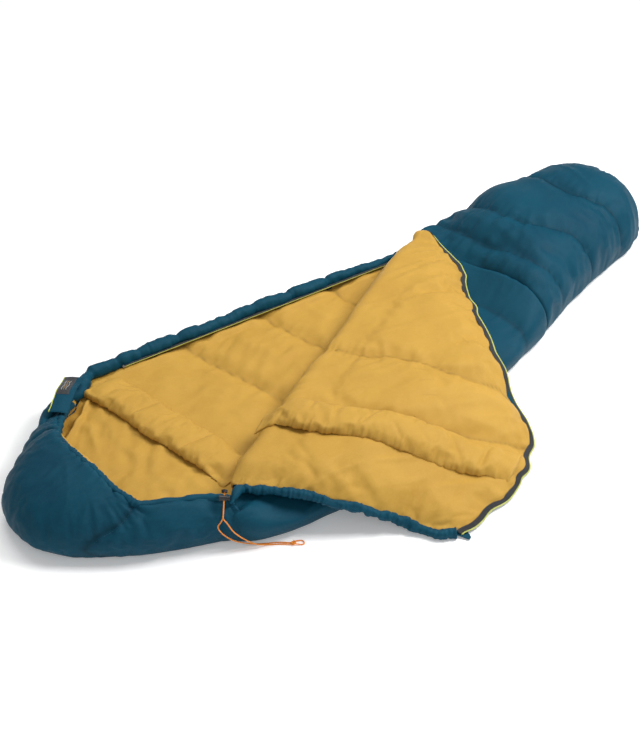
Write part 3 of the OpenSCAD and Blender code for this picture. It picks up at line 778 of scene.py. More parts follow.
def make_back():
    P, Q = grid(spread(150, 0.55), spread(58, 0.6))
    shrink = np.array([0.992, 0.985])
    middle = np.array([MIDDLE_X, 20.0])
    xy = (back_plan((P + 1) / 2, Q) - middle) * shrink + middle
    x, y = xy[..., 0], xy[..., 1]
    # lining, quilted, level with the seam at its edges, with a ridge that carries the zip
    edge = np.maximum(np.abs(P) ** 40, np.abs(Q) ** 8)
    top = BACK_LOFT - 8 * np.maximum(np.abs(Q) ** 3, 1 - smooth((x - HEAD_X) / 200))
    inset = edge_line(x) - y
    top = top + 13 * bell(inset - 50, 11) * smooth((x + 640) / 60) * smooth((450 - x) / 40)
    seam_z = 41 + 10 * smooth((Q - 0.4) / 0.3) * smooth((x + 690) / 60) * smooth((470 - x) / 60)
    top = mix(top, seam_z, np.maximum(edge, 1 - smooth((TOE_X - x) / 160)))
    top = top + valley(x, y, BACK_SEAMS, 13, 30, 0) * (1 - edge)
    inner = raised(xy, top)
    # shell: flat where it rests, with round sides that reach up to the seam
    wall = 0.86
    tp, tq = clamp01((np.abs(P) - 0.97) / 0.03), clamp01((np.abs(Q) - wall) / (1 - wall))
    rise = np.minimum(1, np.hypot(tp, tq))
    squeeze = stack(1 - 0.006 * (1 - rise), 1 - 0.05 * (1 - rise) ** 2)
    flat = (xy - middle) * squeeze + middle
    outer = raised(flat, seam_z * rise**1.7)
    made = pad("back_panel", outer, inner, [SHELL, LINING])
    co = coords(made)
    lining = slot_share(made)
    near = nearest(co[:, 0], co[:, 1], BACK_SEAMS)
    hold = np.where(lining > 0.9, 0.15 + 0.85 * (near < 9), 1.0)
    inflate(made, hold, pressure=2.2, slack=0.03, cap=9)
    refine(made)
    co = coords(made)
    lining = slot_share(made)
    x, y = co[:, 0], co[:, 1]
    near = nearest(x, y, BACK_SEAMS)
    soft = (valley(x, y, BACK_SEAMS, 2.5, 10, 2.3) + 2.2 * noise(x / 90, y / 70) + 1.7 * folds(x, y, 26, 0.35)
            + 0.8 * noise(x / 21, y / 26))
    ridge_s, ridge_d = along(x, y, HOOD_CREASE)
    soft += 12 * bell(ridge_d, 6) * smooth(ridge_s / 30) + 2.5 * folds(x, y, 40, 1.1) * smooth((-560 - x) / 60)
    under = 1.6 * noise(x / 70, y / 60) * smooth(co[:, 2] / 15)
    push(made, np.where(lining > 0.5, soft, under))
    co = coords(made)
    from_coil = np.abs(edge_line(co[:, 0]) - co[:, 1] - COIL_INSET)
    beside_zip = COIL_Z - 4.7 + 40 * smooth((from_coil - 9) / 16) + 40 * smooth((-560 - co[:, 0]) / 40)
    co[:, 2] = np.clip(co[:, 2], 0.2, beside_zip)
    set_coords(made, co)
    # painted shade: the lining is darkened along the quilting valleys
    paint(made, 0.8 * np.exp(-near / 3.5) * lining)
    shell_where(made, lambda x, y, z: (x > 452) | (x < -940) | ((x > -700) & (edge_line(x) - y < 25))
                | (y < mid_y(x) - half_w(x) + 26) | ((x < -640) & (y > half_w(x) - 24)))
    finish_piece(made, "bag", "shell", "base_panel", "side_panel_far", "side_panel_near", "back_batting",
                 "back_lining", fill=0.55)


# ---- Hood ----
def drawn_in(x, y):
    """Creases that spread from the cord lock."""
    dx, dy = x - LOCK_AT[0], y - LOCK_AT[1]
    d = np.hypot(dx, dy)
    return 5.5 * np.exp(-d / 62) * smooth(d / 30) * noise(np.arctan2(dy, dx) * 3.4 + 3.1, d / 110)


def hood_outline(a):
    """The seam outline round the head, from the near neck to the far neck, and the gathered rim above it."""
    v = -np.cos(math.pi * a)
    reach = np.where(v < 0, NECK_X - HEAD_X, RIM_CROWN_X + 200 - HEAD_X)
    x = HEAD_X + reach * np.abs(v) ** 2
    out = stack(x, np.sign(v) * np.where(v > 0, np.minimum(half_w(x), edge_line(x) + 5), half_w(x)))
    rx = rim_x(v)
    return out, stack(rx, v * half_at(rx, v))


def hood_across(x, y):
    """From -1 at the near seam to 1 at the far seam."""
    return np.clip(y / np.maximum(half_at(x, np.sign(y) * 0.5), 1), -1, 1)


def hood_height(x, y):
    return SEAM_H + hood_top(x) * np.sqrt(1 - hood_across(x, y) ** 2)


def hood_inside(x, y, z, depth):
    """The point that far inside the hood's dome."""
    return stack(DOME_X + (x - DOME_X) * (1 - depth / 210), y * (1 - depth / 275),
                 SEAM_H + (z - SEAM_H) * (1 - depth / (HOOD_H - SEAM_H)))


def make_hood():
    a = np.linspace(0.012, 0.988, 112)
    b = np.concatenate([np.linspace(-0.34, 0, 6)[:-1], np.linspace(0, 1, 24)])
    A, B = grid(a, b)
    out, rim = hood_outline(A)
    over = np.maximum(B, 0)
    xy = mix(out, rim, (1 - np.cos(over * math.pi / 2))[..., None])
    z = hood_height(xy[..., 0], xy[..., 1])
    below = clamp01(-B / 0.34)
    middle = np.array([-560.0, 0.0])
    tuck = 1 - 0.055 * below**2.2
    xy = np.where(B[..., None] < 0, (out - middle) * tuck[..., None] + middle, xy)
    z = np.where(B < 0, skirt_z(below), z)
    outer = raised(xy, z)
    depth = valley(xy[..., 0], xy[..., 1], HOOD_SEAMS, 9, 26, 0)
    t = PAD * (1 - 0.6 * smooth((over - 0.9) / 0.1))
    inner = hood_inside(xy[..., 0], xy[..., 1], z, t)
    inner = np.where(B[..., None] < 0, stack(DOME_X + (xy[..., 0] - DOME_X) * 0.9, xy[..., 1] * 0.92, z), inner)
    outer[..., 2] += depth * 0.6 * (B > 0)
    made = pad("hood", outer, inner, [SHELL, LINING])
    co = coords(made)
    lining = slot_share(made)
    near = nearest(co[:, 0], co[:, 1], HOOD_SEAMS)
    hold = np.where((near < 10) | (co[:, 2] < 30), 1.0, 0.15)
    inflate(made, hold, pressure=2.0, slack=0.035, cap=8)
    refine(made)
    co = coords(made)
    lining = slot_share(made)
    x, y, z = co.T
    around = np.arctan2(y, -(x + 560)) * 330
    from_rim = np.abs(rim_x(hood_across(x, y)) - x)
    gathers = 4.2 * noise(around / 13, from_rim / 110) + 1.6 * noise(around / 5.5, from_rim / 60)
    gathers = gathers * np.exp(-from_rim / 26)
    near = nearest(x, y, HOOD_SEAMS)
    soft = valley(x, y, HOOD_SEAMS, 7.0, 6, 3.0) + 2.6 * noise(x / 80, y / 80) + 1.3 * folds(x, y, 30, 0.9)
    press = 6 * bell(np.hypot(x + 782, y - 203), 45)
    full = -press + 14 * smooth((y - 20) / 120) * smooth((-735 - x) / 80) * smooth(z / 50)
    dents = limit_in((soft + drawn_in(x, y)) * smooth(z / 20), z)
    push(made, np.where(lining > 0.5, 0.4 * soft, dents + full) + gathers)
    keep_above(made, 0.8)
    # painted shade: the shell is darkened along the quilting valleys
    paint(made, 0.9 * np.exp(-near / 3.5) * (1 - lining))
    shell_where(made, lambda x, y, z: (y < -240) & (x > -672))
    finish_piece(made, "bag", "shell", "hood_shell", "hood_batting", "hood_lining", fill=0.7)


def make_hood_hem():
    v = mix(-0.86, 0.93, np.linspace(0, 1, 420))
    rx = rim_x(v)
    y = v * half_at(rx, v)
    z = hood_height(rx, y)
    centre = hood_inside(rx, y, z, PAD / 2) + np.array([4, 0, 0])
    run = lengths(centre)
    centre[:, 2] += 1.6 * noise(run / 60, 0.5) + 0.9 * noise(run / 17, 4.5)
    centre[:, 0] += 2.0 * noise(run / 45, 8.5)
    sides = 20
    R, T = grid(run, turns(sides))
    radius = (9.6 + 1.9 * noise(R / 9, 2.2 + np.cos(T) * 0.7) + 1.3 * noise(R / 4.5, 7 + np.sin(T) * 0.6)
              + 1.2 * noise(R / 40, 3))
    made = tube("hood_drawcord_channel", centre, radius, sides, [SHELL])
    finish_piece(made, "bag", "shell", "hood_hem")
    # gathered lining just inside the channel
    inside = (v > -0.45) & (v < 0.78)
    part, length = centre[inside], run[inside]
    tangent = unit(np.gradient(smooth_line(part, 20)[:, :2], axis=0))
    inward = stack(tangent[:, 1], -tangent[:, 0])
    inward = np.where(inward[:, :1] < 0, -inward, inward)
    t = np.linspace(0, 1, 14)
    ends = smooth((length - length[0]) / 110) * smooth((length[-1] - length) / 110)
    L, K = grid(length, t)
    puff = 4.5 * noise(L / 13, K * 1.5) * np.sin(math.pi * np.minimum(K * 1.2, 1))
    puff = puff + 2.0 * noise(L / 6, K * 2 + 4) * (1 - K)
    xy = part[:, None, :2] + inward[:, None] * ((6 + 22 * t)[None] * ends[:, None])[..., None]
    z = part[:, None, 2] + ((6 - 6 * t - 34 * t**2)[None] + puff) * ends[:, None]
    ruffle = pad("hood_gathered_lining", raised(xy, z - 3), raised(xy, z), [LINING, LINING])
    finish_piece(ruffle, "bag", "lining")


def finish_piece(made, body, slot, *replaced, fill=None):
    """Keeps a piece just off the floor, hangs it from its body, and hides the CAD nodes that it replaces. Its
    slot and fill are not used.
    """
    keep_above(made, 0.2)
    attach(made, body)
    if replaced:
        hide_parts(*replaced)


make_back()
make_hood()
make_hood_hem()


# ---- Near side of the front panel ----
def make_front():
    x_rows = np.linspace(NECK_X - 22, FOOT_X + 3, 98)
    w = np.concatenate([np.linspace(-0.3, 0, 5)[:-1], np.linspace(0, 1, 30) ** 1.7])
    X, W = grid(x_rows, w)
    over = np.maximum(W, 0)
    y0 = mid_y(X) - half_w(X)
    y = mix(y0, fold_y(X), over)
    v = (y - mid_y(X)) / half_w(X)
    rise = front_rise(X, y)
    z = SEAM_H + (FRONT_H + rise) * np.where(v < 0, dome(np.clip(v, -1, 1), 2.4), 1)
    below = clamp01(-W / 0.3)
    y = np.where(W < 0, mid_y(X) - half_w(X) * (1 - 0.05 * below**2.2), y)
    z = np.where(W < 0, skirt_z(below), z)
    # the neck end rises to lap over the hood
    meet = (1 - smooth((X + 628) / 90)) * (1 - smooth((over - 0.35) / 0.4))
    z = np.where(W > 0, mix(z, hood_height(X, y) + 1.5, meet), z)
    y = y - 2.0 * meet * (W <= 0.2)
    outer = stack(X, y, z)
    outer[..., 2] += valley(X, y, BACK_SEAMS, 9, 26, 0) * (W > 0) * smooth((1 - over) / 0.2)
    t = FRONT_LOFT - 1 - 12 * np.exp(-(X - NECK_X + 22) / 26)
    inner = stack(X, y + t * (1 - over) ** 2, np.where(W < 0, z, z - t * dome(np.clip(v, -0.999, 0.999), 2.4)))
    made = pad("front_panel_near", outer, inner, [SHELL, LINING])
    refine(made)
    co = coords(made)
    lining = slot_share(made)
    x, y, z = co.T
    near = nearest(x, y, BACK_SEAMS)
    soft = valley(x, y, BACK_SEAMS, 3, 9, 2.0) + 2.2 * noise(x / 90, y / 70) + 1.5 * folds(x, y, 34, 0.3)
    push(made, np.where(lining > 0.5, 0.5, limit_in((soft + drawn_in(x, y)) * smooth(z / 20), z)))
    keep_above(made, 0.8)
    # painted shade: the shell is darkened along the quilting valleys
    paint(made, 0.9 * np.exp(-near / 3.5) * (1 - lining))
    shell_where(made, lambda x, y, z: x < -560)
    finish_piece(made, "bag", "shell", "front_shell", "front_batting", "front_lining", fill=0.5)


# ---- Foot ----
def make_foot():
    u = np.linspace(0, 1, 66)
    q = spread(66, 0.85)
    skirt = np.linspace(-0.32, 0, 6)[:-1]
    U, Q = grid(u, np.concatenate([skirt - 1, q, 1 - skirt[::-1]]))
    v = np.clip(Q, -1, 1)
    below_side = clamp01((np.abs(Q) - 1) / 0.32)
    x_high = TOE_X - 25
    over = clamp01(U / 0.9)
    x0 = mix(FOOT_X - 2, x_high, 1 - (1 - over) ** 1.5)
    x = x0 + (toe_x(v, x_high) - x_high) * np.exp(-(x_high - x0) / 90)
    y = mid_y(x0) + v * half_w(x0)
    p = np.where(v < 0, 2.4, mix(6, 2.4, smooth((x - FOOT_X) / 200)))
    z = SEAM_H + foot_top(x, y) * dome(np.clip((y - mid_y(x)) / np.maximum(half_w(x), 1), -1, 1), p)
    below_end = clamp01((U - 0.9) / 0.1)
    below = np.maximum(below_side, below_end)
    middle = np.array([FOOT_X, 50.0])
    xy = (stack(x, y) - middle) * stack(1 - 0.02 * below**2.2, 1 - 0.055 * below**2.2) + middle
    z = np.where(below > 0, np.minimum(z, skirt_z(below)), z)
    outer = raised(xy, z)
    top = below <= 0
    side = mix(1.0, 0.4, smooth((xy[..., 1] - 60) / 110))
    drawn = valley(xy[..., 0], xy[..., 1], FOOT_SEAMS, 9, 26, 0) * side
    drawn = drawn + 8 * bell(xy[..., 0] - 545, 70) * smooth((xy[..., 1] - 20) / 120)
    drawn = drawn * top * smooth((z - SEAM_H) / 30)
    outer[..., 2] += drawn
    t = PAD + 4
    inner = stack(FOOT_X + (xy[..., 0] - FOOT_X) * (1 - t / 630), 40 + (xy[..., 1] - 40) * (1 - t / 258),
                  np.where(top, SEAM_H + (z - SEAM_H) * (1 - t / 130) + drawn, z))
    made = pad("foot", outer, inner, [SHELL, LINING])
    co = coords(made)
    near = nearest(co[:, 0], co[:, 1], FOOT_SEAMS)
    hold = np.where((near < 8) | (co[:, 2] < 30), 1.0, 0.12)
    inflate(made, hold, pressure=2.0, slack=0.035, cap=9)
    refine(made)
    co = coords(made)
    lining = slot_share(made)
    x, y, z = co.T
    near = nearest(x, y, FOOT_SEAMS)
    turn = np.arctan2(y - 50, x - 960)
    soft = (valley(x, y, FOOT_SEAMS, 4.5, 6, 2.8) + 3.0 * noise(x / 80, y / 70) + 2.2 * folds(x, y, 36, 1.3)
            + 3.0 * noise(turn * 5, z / 90) * smooth((x - 960) / 90) * smooth(z / 30))
    push(made, np.where(lining > 0.5, np.minimum(0.4 * soft, 0.5), limit_in(soft * smooth(z / 20), z)))
    keep_above(made, 0.8)
    # painted shade: the shell is darkened along the quilting valleys
    paint(made, 0.9 * np.exp(-near / 3.5) * (1 - lining))
    finish_piece(made, "bag", "shell", "foot_shell", "foot_end_shell", "foot_batting", "foot_lining", fill=0.7)


make_front()
make_foot()


# ---- Open part of the front panel: lining on top, shell underneath ----
def flap_top(s, m):
    p = plan(s, np.maximum(m, 0))
    return flap_under(p[..., 0], p[..., 1]) + flap_loft(s, np.maximum(m, 0))


def flap_shape(s, m):
    """Quilting, and the free edge's waves, as height above the plain panel."""
    low = valley(s, m, [FLAP_SEAM], 9, 24, 0) + valley(s, m, [COLLAR_SEAM], 5, 22, 0)
    rim = flap_width(s) - m
    waves = 5.5 * np.sin(s / 24 + 2.2 * noise(s / 140, 0.5)) * np.exp(-rim / 38) * smooth((s + 150) / 120)
    return low + waves + 13 * smooth((s - 462) / 45)


def flap_soft(s, m):
    """Wrinkles in the panel's lining, which run on over the fold."""
    rim = flap_width(s) - m
    neck = s - lookup(m, FLAP_NECK)
    soft = valley(s, m, [FLAP_SEAM, COLLAR_SEAM], 2.5, 8, 2.2) + 2.8 * noise(s / 85, m / 75)
    soft += 2.0 * folds(s, m, 28, 0.7)
    soft += 2.2 * folds(s, m, 62, 1.15) * smooth((s + 420) / 160)
    soft += np.exp(-np.maximum(rim, 0) / 45) * 2.8 * noise(s / 17, rim / 90)
    soft += np.exp(-np.maximum(neck, 0) / 40) * 3.8 * noise(m / 15, neck / 90)
    return soft * smooth((rim + 4) / 14)


# ---- Fold between the fixed front and the open panel ----
def fold_section(s):
    """How far the roll reaches above and below the fold's axis at each place along it."""
    up = flap_top(s, 0) + 1.0 - FOLD_Z
    down = mix(5, FRONT_LOFT, smooth((FOLD_END - s) / 160))
    ends = mix(0.55, 1.0, np.sqrt(1 - (1 - clamp01((s - FOLD_NECK) / 26)) ** 2))
    return up * ends, down * ends


def make_fold():
    s = np.linspace(FOLD_NECK + 1, FOLD_END - 6, 124)
    row = np.concatenate([np.linspace(-1, 0, 15)[:-1], np.linspace(0, 1, 7)])
    S, T = grid(s, row)
    up, down = fold_section(S)
    side = (up + down) / 2
    turn = math.pi * np.maximum(-T, 0)
    lap = np.maximum(T, 0) * mix(4, 46, smooth((S - FOLD_NECK - 10) / 60) * smooth((FOLD_END - S) / 110))
    shape = flap_shape(S, np.where(T > 0, lap, -turn * side))
    tall = np.where(turn < math.pi / 2, up, down)

    def ring(k):
        m = np.where(T > 0, lap, -0.3 - (k * side + shape * k) * np.sin(turn))
        over = flap_top(S, lap) + 1.0 - 3.0 * np.maximum(T, 0) + shape - 9 * (1 - k)
        z = np.where(T > 0, over, FOLD_Z + (k * tall + shape * k) * np.cos(turn))
        return raised(plan(S, m), z)

    made = pad("fold_roll", ring(0.3), ring(1.0), [SHELL, LINING])
    refine(made)
    co = coords(made)
    s_at, m_at = unplan(co[:, 0], co[:, 1])
    up, down = fold_section(s_at)
    turn = np.arctan2(np.maximum(-m_at - 0.3, 0), co[:, 2] - FOLD_Z)
    across = np.where(m_at > 0, m_at, -turn * (up + down) / 2)
    push(made, slot_share(made) * flap_soft(s_at, across))
    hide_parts("fold_batting", "fold_lining")
    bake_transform(made)


make_fold()


def make_flap():
    a = spread(104, 0.5) / 2 + 0.5
    f = spread(64, 0.5) / 2 + 0.5
    F, A = grid(f, a)
    s, m = flap_s(A, F), flap_m(A, F)
    p = plan(s, m)
    low = flap_under(p[..., 0], p[..., 1])
    shape = flap_shape(s, m)
    edge = np.maximum(0, flap_edge(s, m))
    round_off = np.sqrt(1 - (1 - clamp01(edge / 14)) ** 2)
    loft = flap_loft(s, m)
    top = low + np.maximum(mix(0.55 * EDGE_LOFT, loft, round_off), 4) + shape
    bottom = low + 0.45 * EDGE_LOFT * (1 - round_off) * (m > 6)
    bottom = bottom + np.maximum(shape, -1) * np.exp(-edge / 25) * smooth((s + 150) / 120)
    outer = raised(p, np.maximum(bottom, 1.2))
    inner = raised(p, top)
    made = pad("flap", outer, inner, [SHELL, LINING])
    co = coords(made)
    lining = slot_share(made)
    s_at, m_at = unplan(co[:, 0], co[:, 1])
    near = nearest(s_at, m_at, [FLAP_SEAM, COLLAR_SEAM])
    rim = flap_edge(s_at, m_at)
    hold = np.where((near < 9) | (rim < 6) | (m_at < 40), 1.0, mix(0.12, 0.8, smooth((80 - m_at) / 40)))
    hold = np.where(lining < 0.5, 1.0, hold)
    inflate(made, hold, pressure=2.4, slack=0.035, cap=9)
    refine(made)
    co = coords(made)
    lining = slot_share(made)
    s_at, m_at = unplan(co[:, 0], co[:, 1])
    near = nearest(s_at, m_at, [FLAP_SEAM, COLLAR_SEAM])
    rim = flap_width(s_at) - m_at
    under = 0.5 * noise(s_at / 60, m_at / 60) * smooth((rim + 4) / 14)
    dents = np.maximum(flap_soft(s_at, m_at), -mix(0.8, 8, smooth((flap_edge(s_at, m_at) - 6) / 60)))
    push(made, np.where(lining > 0.5, dents, under))
    keep_above(made, 1.0)
    # painted shade: the lining is darkened along the quilting and collar seam valleys
    paint(made, 0.75 * np.exp(-near / 3.5) * lining)
    finish_piece(made, "flap", "lining", "flap_shell", "flap_batting", "flap_lining", fill=0.55)


make_flap()


# ---- Edge of the open panel: tape, coil, neck hem, corner ----
def flap_rim(s):
    """The zip edge in plan and height, with its outward direction."""
    m = flap_width(s)
    p = plan(s, m)
    z = flap_under(p[..., 0], p[..., 1]) + 0.5 * EDGE_LOFT + flap_shape(s, m)
    line = raised(p, np.maximum(z, 6.0))
    tangent = np.gradient(line, axis=0)
    out = unit(stack(tangent[:, 1], -tangent[:, 0], 0.0))
    out = np.where(((out[:, :2] @ FOLD_OUT) < 0)[:, None], -out, out)
    return line, out


def ribbon(name, inner_line, outer_line, thick, across=4):
    """A thin closed band between two lines."""
    t = np.linspace(0, 1, across)[None, :, None]
    face = mix(inner_line[:, None], outer_line[:, None], t)
    tangent = np.gradient(face, axis=0)
    normal = unit(np.cross(tangent, (outer_line - inner_line)[:, None]))
    normal = np.where(normal[..., 2:] < 0, -normal, normal)
    return pad(name, face - normal * thick / 2, face + normal * thick / 2, [TAPE, TAPE], weld=0.05)


def coil(name, path, body, replaced, radius=1.7, pitch=2.6):
    """Zip teeth: a flattened nylon coil round the tape's edge, on a core."""
    fine = resample(path, pitch / 6)
    tangent = unit(np.gradient(smooth_line(fine, 4), axis=0))
    up = unit(np.cross(tangent, np.cross(np.array([0, 0, 1.0]), tangent)))
    side = np.cross(up, tangent)
    phase = 2 * math.pi * np.arange(len(fine)) / 6
    winding = fine + side * (radius * np.cos(phase))[:, None] + up * (0.75 * radius * np.sin(phase))[:, None]
    made = tube(name, winding, 0.62, 5, [COIL])
    core = tube(name + "_core", resample(path, 4), radius * 0.8, 8, [COIL])
    for piece in (made, core):
        finish_piece(piece, body, "zip_coil")
    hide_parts(replaced)


def make_tab():
    """The pointed end of the hem, which lies on the floor past the zip's end."""
    T, U = grid(np.linspace(0, 1, 20), np.linspace(0, 1, 9))
    left = mix(9, 12, T)
    right = left + 26 * np.sin(math.pi * clamp01(T * 0.93) ** 1.3) + 1.5
    u, w = mix(left, right, U), mix(52, -25, T)
    x = -255.3 + u * FOLD_DIR[0] - w * FOLD_DIR[1]
    y = -639.5 + u * FOLD_DIR[1] + w * FOLD_DIR[0]
    z = 5.5 + 2.0 * noise(u / 14, w / 16) + 2.5 * (1 - T)
    made = pad("hem_end_tab", stack(x, y, z - 1.4), stack(x, y, z + 1.4), [SHELL, SHELL], weld=0.2)
    refine(made)
    finish_piece(made, "flap", "shell", "flap_corner")


def make_flap_edge():
    s = np.linspace(FOLD_END - 1, -489, 330)
    line, out = flap_rim(s)
    line = smooth_line(line, 6)
    out = unit(smooth_line(out, 10))
    run = np.linspace(0, 1, len(s))
    flutter = 2.0 * noise(run * 26, 1.5) + 1.2 * noise(run * 60, 3.5)
    lift = stack(0, 0, flutter)
    up = np.array([0, 0, 1.0])
    tip = smooth(run * 14)[:, None]
    inner_line = line - out * 5 * tip + up * 5.0 + lift * 0.4
    outer_line = line + out * 8 * tip + up * 0.5 + lift
    outer_line[:, 2] = np.maximum(outer_line[:, 2], 2.6)
    made = ribbon("zip_tape_front_band", inner_line, outer_line, 1.4, across=6)
    finish_piece(made, "flap", "zip_tape", "zip_tape_front")
    coil("zip_teeth_front", outer_line + out * 1.2, "flap", "zip_coil_front")
    # shell binding that shows beyond the tape
    low = line + out * 3 - up * 3.5
    low[:, 2] = np.maximum(low[:, 2], 3.4)
    bind = tube("flap_zip_binding", low, 3.2 + 0.7 * noise(run * 130, 0.4), 10, [SHELL])
    finish_piece(bind, "flap", "shell")
    # neck hem, a gathered shell channel
    f = np.linspace(0.015, 0.985, 300)
    m = f * 485
    s_neck = lookup(m, FLAP_NECK)
    p = plan(s_neck - 6, m)
    z = flap_under(p[..., 0], p[..., 1]) + 0.5 * EDGE_LOFT
    centre = smooth_line(raised(p, z), 12)
    length = lengths(centre)
    centre[:, 2] += 2.6 * noise(length / 48, 2.5) + 1.2 * noise(length / 16, 6.5)
    sides = 18
    R, T = grid(length, turns(sides))
    radius = (10.5 + 3.0 * noise(R / 13, 2.2 + np.cos(T) * 1.6) + 1.9 * noise(R / 5.5, 7 + np.sin(T) * 1.4)
              + 2.0 * noise(R / 45, 3))
    centre[:, 2] = np.maximum(centre[:, 2], 11.5)
    made = tube("flap_neck_channel", centre, radius, sides, [SHELL])
    finish_piece(made, "flap", "shell", "flap_neck_hem")
    # the hem's first stretch, from the cord lock over the fold's end
    route = [(-636, -290, 103), (-622, -286, 110), (-603, -275, 112), tuple(centre[2])]
    path = curve(route, 14)
    share = np.linspace(0, 1, len(path))
    R, T = grid(share * 60, turns(sides))
    radius = mix(4.5, 11, smooth(R / 45)) + 1.8 * noise(R / 8, 4 + np.cos(T) * 0.7)
    start = tube("neck_hem_start", path, radius, sides, [SHELL])
    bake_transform(start)
    make_tab()


make_flap_edge()


# ---- Draft collars ----
def collar(name, at, count, height):
    """A filled strip sewn along one edge, whose free edge is gathered on elastic and stands clear."""
    C, Q = grid(np.linspace(0, 1, count), np.linspace(-1, 1, 17))
    free = smooth((1 - Q) / 2)
    full = np.sqrt(np.maximum(0, 1 - np.abs(Q) ** 2.6))
    h = height(C)
    top = 2.0 + h * (0.16 + 0.84 * full) + 11 * free**2 * smooth(C * 6)
    low = 0.6 + 12.0 * free**2 * smooth(C * 6)
    return pad(name, at(C, Q, low), at(C, Q, np.maximum(top, low + 3)), [LINING, LINING])


def make_back_collar():
    def at(c, q, lift):
        y = mix(-195, 300, c)
        x = -546 - 0.12 * y + q * 58 + 6 * noise(y / 70, 1.5) * (1 - q) / 2
        return stack(x, y, BACK_LOFT - 2 + lift)

    made = collar("back_draft_collar", at, 84, lambda c: mix(10, 19, smooth(c * 3.2)))
    shape_collar(made, lambda co: ((co[:, 0] + 546 + 0.12 * co[:, 1]) / 58, co[:, 1]), 2.4)
    finish_piece(made, "bag", "lining", "back_collar", fill=0.6)


def shape_collar(made, coordinates, strength):
    q, _ = coordinates(coords(made))
    inflate(made, np.where(np.abs(q) > 0.93, 1.0, 0.1), pressure=3.0, slack=0.06, cap=7)
    refine(made)
    q, run = coordinates(coords(made))
    free = np.exp(-np.maximum(q + 1, 0) * 2.4)
    sewn = np.exp(-np.maximum(1 - q, 0) * 4.5)
    amount = (free * strength * (noise(run / 8, q * 0.6) + 0.6 * noise(run / 4.2, q * 0.8 + 5))
              + sewn * 1.8 * noise(run / 11, q * 0.7 + 9) + 1.2 * noise(run / 40, q * 1.5))
    push(made, amount)
    # painted shade: darker along the collar's sewn edge, in the crease where it meets the panel
    paint(made, 0.5 * np.exp(-np.abs(1 - q) * 22))


def make_front_collar():
    first, last = -44, 536

    def line(a):
        return -395 + 160 * (np.maximum(a, 0) / 550) ** 1.5 + 1.15 * np.minimum(a, 0)

    def half(a):
        return mix(36, 57, smooth((a - first) / 60))

    def at(c, q, lift):
        a = mix(first, last, c)
        s = line(a) + q * half(a) + 5 * noise(a / 60, 4.5) * (1 - q) / 2
        z = flap_top(s, a) - 3 + lift - 0.009 * np.minimum(a, 0) ** 2
        return raised(plan(s, a), z)

    def place(co):
        s, m = unplan(co[:, 0], co[:, 1])
        return (s - line(m)) / half(m), m

    made = collar("front_draft_collar", at, 100,
                  lambda c: mix(10, 25, smooth(c * 6)) * (1 - 0.3 * smooth((c - 0.9) / 0.1)))
    shape_collar(made, place, 3.4)
    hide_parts("front_collar")
    start, end = (np.append(plan(np.array(0.0), np.array(m)), z) * MM for m, z in ((-60.0, 58.0), (0.0, 129.0)))
    tuple(start)
    tuple(end)
    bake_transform(made)


make_back_collar()
make_front_collar()


# ---- Far edge: the filled roll, with its half of the zip ----
def far_point(x, inset, z):
    return stack(x, edge_line(x) - inset, z)


ROLL_HEAD = -862
ROLL_PINCHES = [(345, 0.22), (140, 0.3), (-90, 0.3), (-325, 0.3), (-505, 0.26), (20, 0.16), (-210, 0.18),
                (-440, 0.15), (240, 0.15), (-590, 0.24)]


def make_far_edge():
    x = np.linspace(444, ROLL_HEAD, 500)
    end = smooth((x - ROLL_HEAD) / 110)
    r = mix(8, 17.5, clamp01((440 - x) / 330)) * mix(0.85, 1, smooth((x + 700) / 90)) * mix(0.3, 1, end)
    pinch = sum(depth * bell(x - seam_x, 13) for seam_x, depth in ROLL_PINCHES)
    sides = 24
    X, T = grid(x, turns(sides))
    radius = (r[:, None] * (1 - pinch[:, None]) + 2.2 * noise(X / 42, 2 + np.cos(T))
              + 2.3 * noise(X / 15, 5 + np.sin(T) * 0.8) + 0.9 * noise(X / 7, 9 + np.cos(T))
              + 3.2 * pinch[:, None] * noise(X / 6, 3 + 2 * np.cos(T)))
    centre = far_point(x, 20, BACK_LOFT - 1 + r)
    shoulder = smooth((-640 - x) / 60)
    into_hood = smooth((-775 - x) / 87)
    centre[:, 1] = np.minimum(centre[:, 1], half_w(x) - 14 + 15 * shoulder * end) - 42 * into_hood
    centre[:, 2] = mix(centre[:, 2], hood_height(x, half_w(x) - 14) + 3, shoulder) + 24 * into_hood
    centre = smooth_line(centre, 30)
    centre[:, 2] += 2.2 * noise(x / 60, 1.2) - 8 * pinch
    centre[:, 1] += 2.0 * noise(x / 45, 6.2)
    made = tube("far_edge_shell_roll", centre, radius, sides, [SHELL])
    co = coords(made)
    co[:, 1] = np.minimum(co[:, 1], edge_line(co[:, 0]) + 6)
    set_coords(made, co)
    finish_piece(made, "bag", "shell", "far_edge_roll", "far_edge_fill", fill=0.75)
    # tape and coil
    zx = np.linspace(432, -497, 300)
    tape = ribbon("zip_tape_back_band", far_point(zx, COIL_INSET - 10, COIL_Z - 1.5),
                  far_point(zx, COIL_INSET + 0.8, COIL_Z + 1.9), 0.8)
    finish_piece(tape, "bag", "zip_tape", "zip_tape_back")
    coil("zip_teeth_back", far_point(zx, COIL_INSET, COIL_Z), "bag", "zip_coil_back")


make_far_edge()


# ---- Neck guard with its piping and label ----
GUARD_AT, GUARD_TURN = (-760, 222, 116), math.radians(44)
GUARD_LENGTH, GUARD_HALF = 165, 23


def guard_point(x, y, z):
    """A point on the drooping guard: x from its root, y across, z above its underside."""
    c, s = math.cos(GUARD_TURN), math.sin(GUARD_TURN)
    droop = 20 * smooth((x - 70) / 95) + 0.006 * y**2
    return stack(GUARD_AT[0] + x * c - y * s, GUARD_AT[1] + x * s + y * c, GUARD_AT[2] + z - droop)


def guard_pad(name, x, y, low, high, surface):
    return pad(name, guard_point(x, y, low), guard_point(x, y, high), [surface, surface], weld=0.05)


